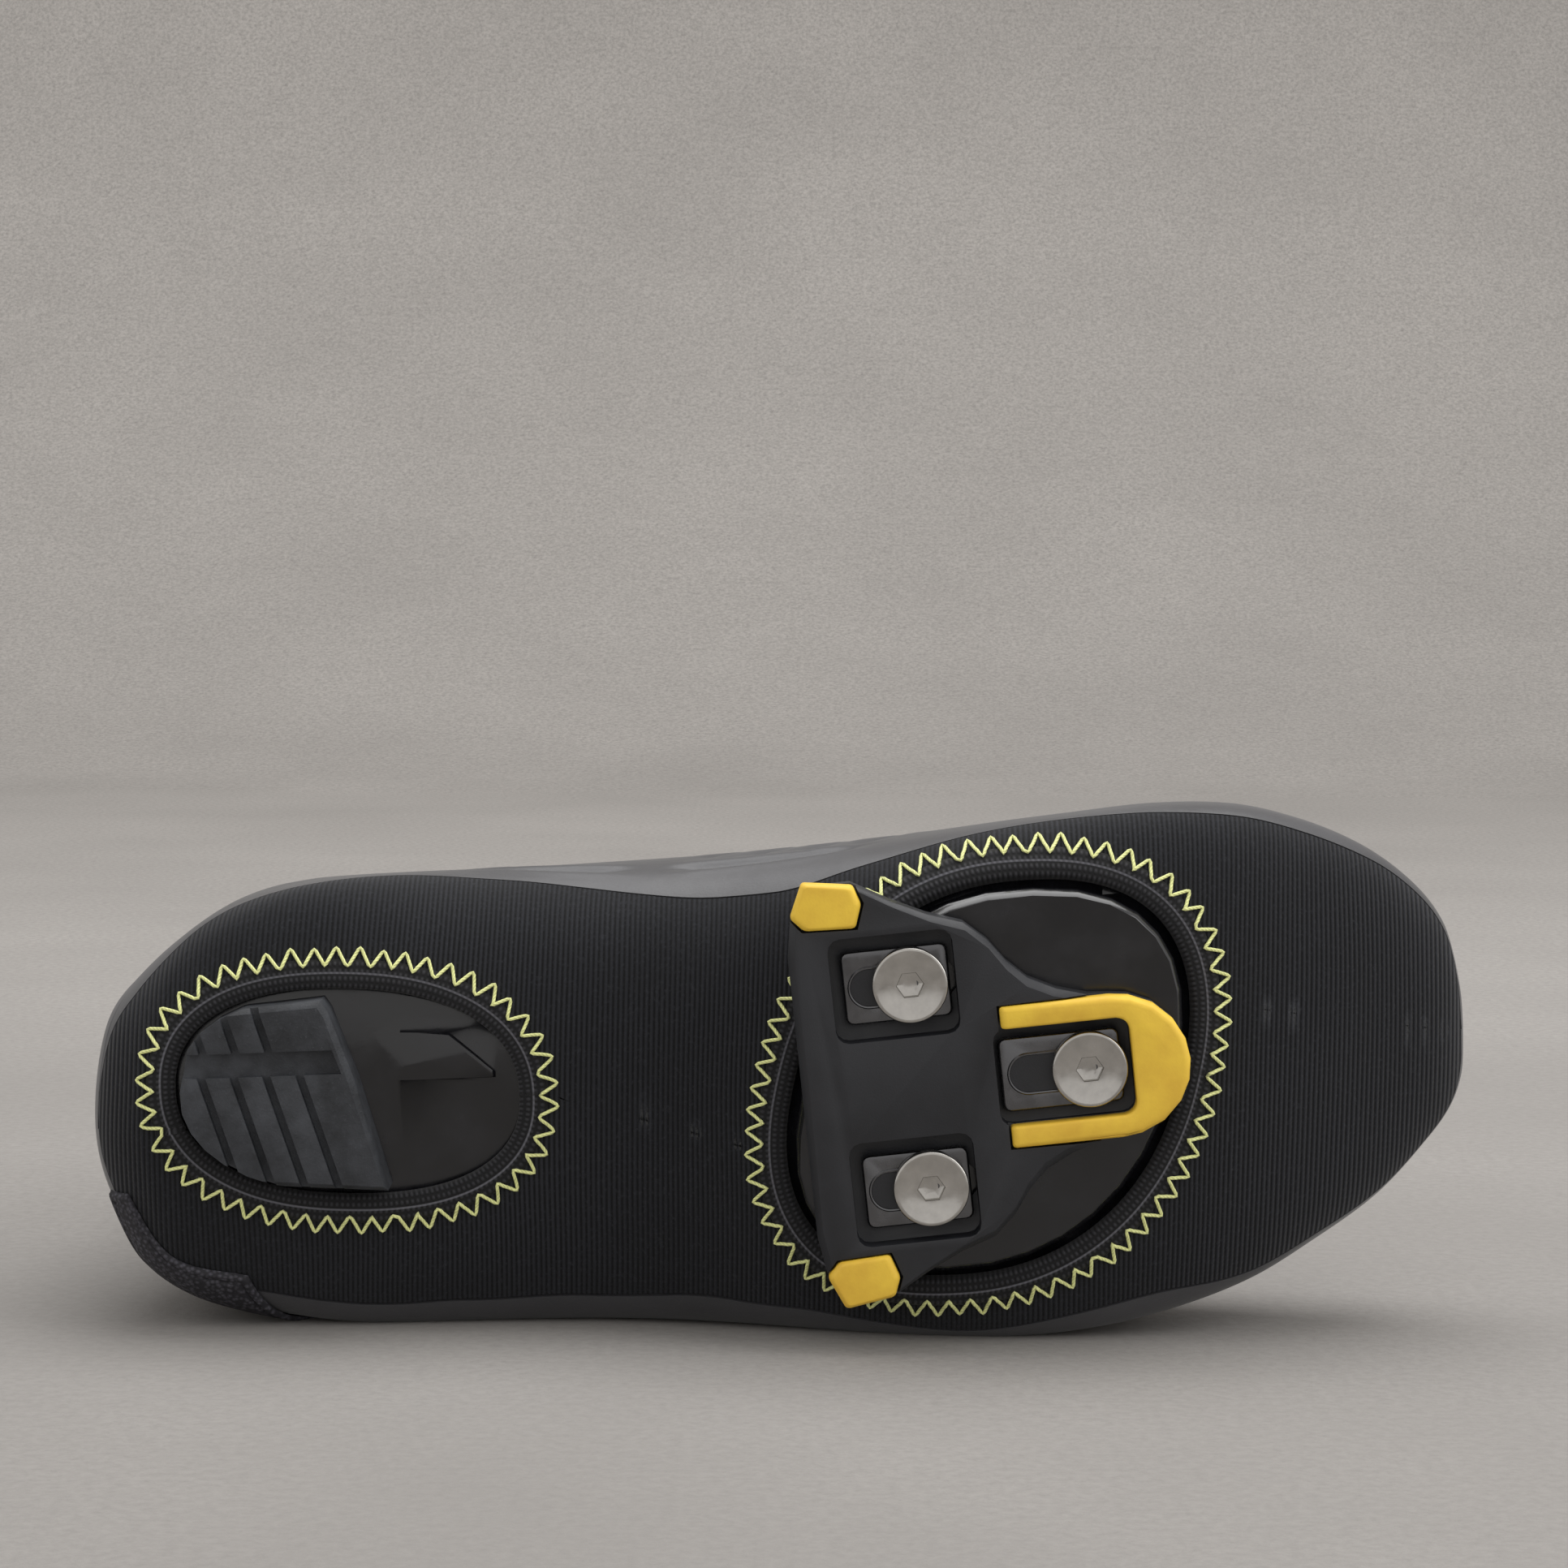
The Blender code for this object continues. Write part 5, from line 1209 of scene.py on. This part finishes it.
class OVERSHOE_OT_bolts(bpy.types.Operator):
    """Turn the three cleat bolts: dished heads with hexagon sockets on plain shanks"""
    bl_idname = "overshoe.bolts"
    bl_label = "Cleat bolts"

    def execute(self, context):
        zinc = plated_steel("zinc_plated_steel", context.scene.overshoe_colours.bolt, 0.2)
        places = {"medial": (0.0, -REAR_BOLT[1]), "lateral": REAR_BOLT, "nose": NOSE_BOLT}
        for name, place in places.items():
            bolt = self.bolt("dished_bolt_" + name, place)
            settled(bolt, "bolt_steel", zinc, "cleat_bolt_" + name)
        return {"FINISHED"}

    @staticmethod
    def bolt(name, place):
        """Rings from the end of the shank over the dished head and down into the socket."""
        shank, top = NOSE_BOLT_SPAN
        seat = top - BOLT_HEAD_HEIGHT
        turned = (
            (2.2, shank), (2.5, shank + 0.3), (2.5, seat), (6.0, seat), (6.4, seat + 0.15),
            (6.5, seat + 0.5), (6.5, top - 0.5), (6.42, top - 0.2), (6.2, top - 0.04), (5.95, top),
            (5.75, top - 0.04),
            (4.4, top - 0.42), (2.95, top - 0.8),
        )
        hexagonal = ((2.1, top - 0.86), (2.0, top - 1.05), (2.0, top - 2.5), (1.2, top - 2.8))
        turns = 2 * math.pi * np.arange(72) / 72
        flats = 1 / np.cos(turns % (math.pi / 3) - math.pi / 6)
        rings = []
        for radius, depth in turned + hexagonal:
            reach = radius * (flats if (radius, depth) in hexagonal else 1.0)
            x, y = place[0] + reach * np.cos(turns), place[1] + reach * np.sin(turns)
            rings.append(cleat_points(x, y, depth))
        return swept(name, rings, closed=False)


class OVERSHOE_OT_stage(bpy.types.Operator):
    """Make the paper sweep, the soft lights and the camera"""
    bl_idname = "overshoe.stage"
    bl_label = "Stage"

    def execute(self, context):
        scene = context.scene
        sweep = self.sweep()
        sweep.data.materials.append(seamless_paper(scene.overshoe_colours))
        world = bpy.data.worlds.new("Studio")
        scene.world = world
        world.use_nodes = True
        background = world.node_tree.nodes["Background"]
        background.inputs["Color"].default_value = (*linear("#f3f1ef"), 1.0)
        background.inputs["Strength"].default_value = 0.88
        self.area("Top softbox", (0.10, 0.25, 1.25), (0.0, 0.0, 0.05), (1.3, 0.9), 11.0)
        self.area("Right softbox", (1.1, -0.35, 0.75), (0.05, -0.05, 0.05), (0.7, 0.9), 4.0)
        self.camera(scene)
        scene.view_settings.view_transform = "Standard"
        return {"FINISHED"}

    @staticmethod
    def sweep():
        """Paper that lies flat under the shoe and curves up behind it."""
        radius, back, top = 0.9, 1.3, 3.2
        bend = np.linspace(0.0, math.pi / 2, 17)
        profile = [(-3.2, 0.0)] + [(back + radius * math.sin(a), radius * (1 - math.cos(a))) for a in bend]
        profile.append((back + radius, top))
        points = [(x, y, z) for y, z in profile for x in (-3.6, 3.6)]
        shape = bpy.data.meshes.new("paper_sweep")
        faces = [[2 * i, 2 * i + 1, 2 * i + 3, 2 * i + 2] for i in range(len(profile) - 1)]
        shape.from_pydata(points, [], faces)
        item = bpy.data.objects.new("paper_sweep", shape)
        bpy.context.scene.collection.objects.link(item)
        smooth(item, 60.0)
        return item

    @staticmethod
    def area(name, place, target, size, power):
        """Rectangular soft light that looks at a target."""
        light = bpy.data.lights.new(name, "AREA")
        light.shape = "RECTANGLE"
        light.size, light.size_y = size
        light.energy = power
        item = bpy.data.objects.new(name, light)
        item.location = place
        way = Vector(target) - Vector(place)
        item.rotation_euler = way.to_track_quat("-Z", "Y").to_euler()
        bpy.context.scene.collection.objects.link(item)

    @staticmethod
    def camera(scene):
        """Camera at the photograph's angle, given in shoe axes."""
        data = bpy.data.cameras.new("Camera")
        data.sensor_width = 36.0
        data.lens = data.sensor_width * FOCAL_PIXELS / FRAME_PIXELS
        data.clip_start, data.clip_end = 0.01, 20.0
        item = bpy.data.objects.new("Camera", data)
        turn = (LIE.to_3x3() * (1 / MM)).normalized()
        forward, up = turn @ Vector(CAMERA_FORWARD), turn @ Vector(CAMERA_UP)
        right = forward.cross(up).normalized()
        up = right.cross(forward).normalized()
        item.matrix_world = Matrix.Translation(LIE @ Vector(CAMERA_PLACE)) @ Matrix(
            (right, up, -forward.normalized())).transposed().to_4x4()
        scene.collection.objects.link(item)
        scene.camera = item


class OVERSHOE_PT_panel(bpy.types.Panel):
    bl_label = "Overshoe"
    bl_idname = "OVERSHOE_PT_panel"
    bl_space_type = "VIEW_3D"
    bl_region_type = "UI"
    bl_category = "Overshoe"

    def draw(self, context):
        layout = self.layout
        for group in (context.scene.overshoe_sizes, context.scene.overshoe_colours):
            for name in group.__annotations__:
                layout.prop(group, name)
        for piece in PIECES:
            layout.operator(piece.bl_idname)


PIECES = (
    OVERSHOE_OT_stage, OVERSHOE_OT_upper, OVERSHOE_OT_panel, OVERSHOE_OT_bindings, OVERSHOE_OT_heel_tab,
    OVERSHOE_OT_sole, OVERSHOE_OT_cleat, OVERSHOE_OT_bolts,
)
GROUPS = (OvershoeSizes, OvershoeColours)


def register():
    """Register the groups, the operators and the panel."""
    for kind in GROUPS + PIECES + (OVERSHOE_PT_panel,):
        bpy.utils.register_class(kind)
    bpy.types.Scene.overshoe_sizes = PointerProperty(type=OvershoeSizes)
    bpy.types.Scene.overshoe_colours = PointerProperty(type=OvershoeColours)


def unregister():
    """Take the groups, the operators and the panel out again."""
    del bpy.types.Scene.overshoe_colours
    del bpy.types.Scene.overshoe_sizes
    for kind in reversed(GROUPS + PIECES + (OVERSHOE_PT_panel,)):
        bpy.utils.unregister_class(kind)


def main():
    """Make every piece in order."""
    register()
    bpy.ops.overshoe.stage()
    bpy.ops.overshoe.upper()
    bpy.ops.overshoe.panel()
    bpy.ops.overshoe.bindings()
    bpy.ops.overshoe.heel_tab()
    bpy.ops.overshoe.sole()
    bpy.ops.overshoe.cleat()
    bpy.ops.overshoe.bolts()


if __name__ == "__main__":
    main()
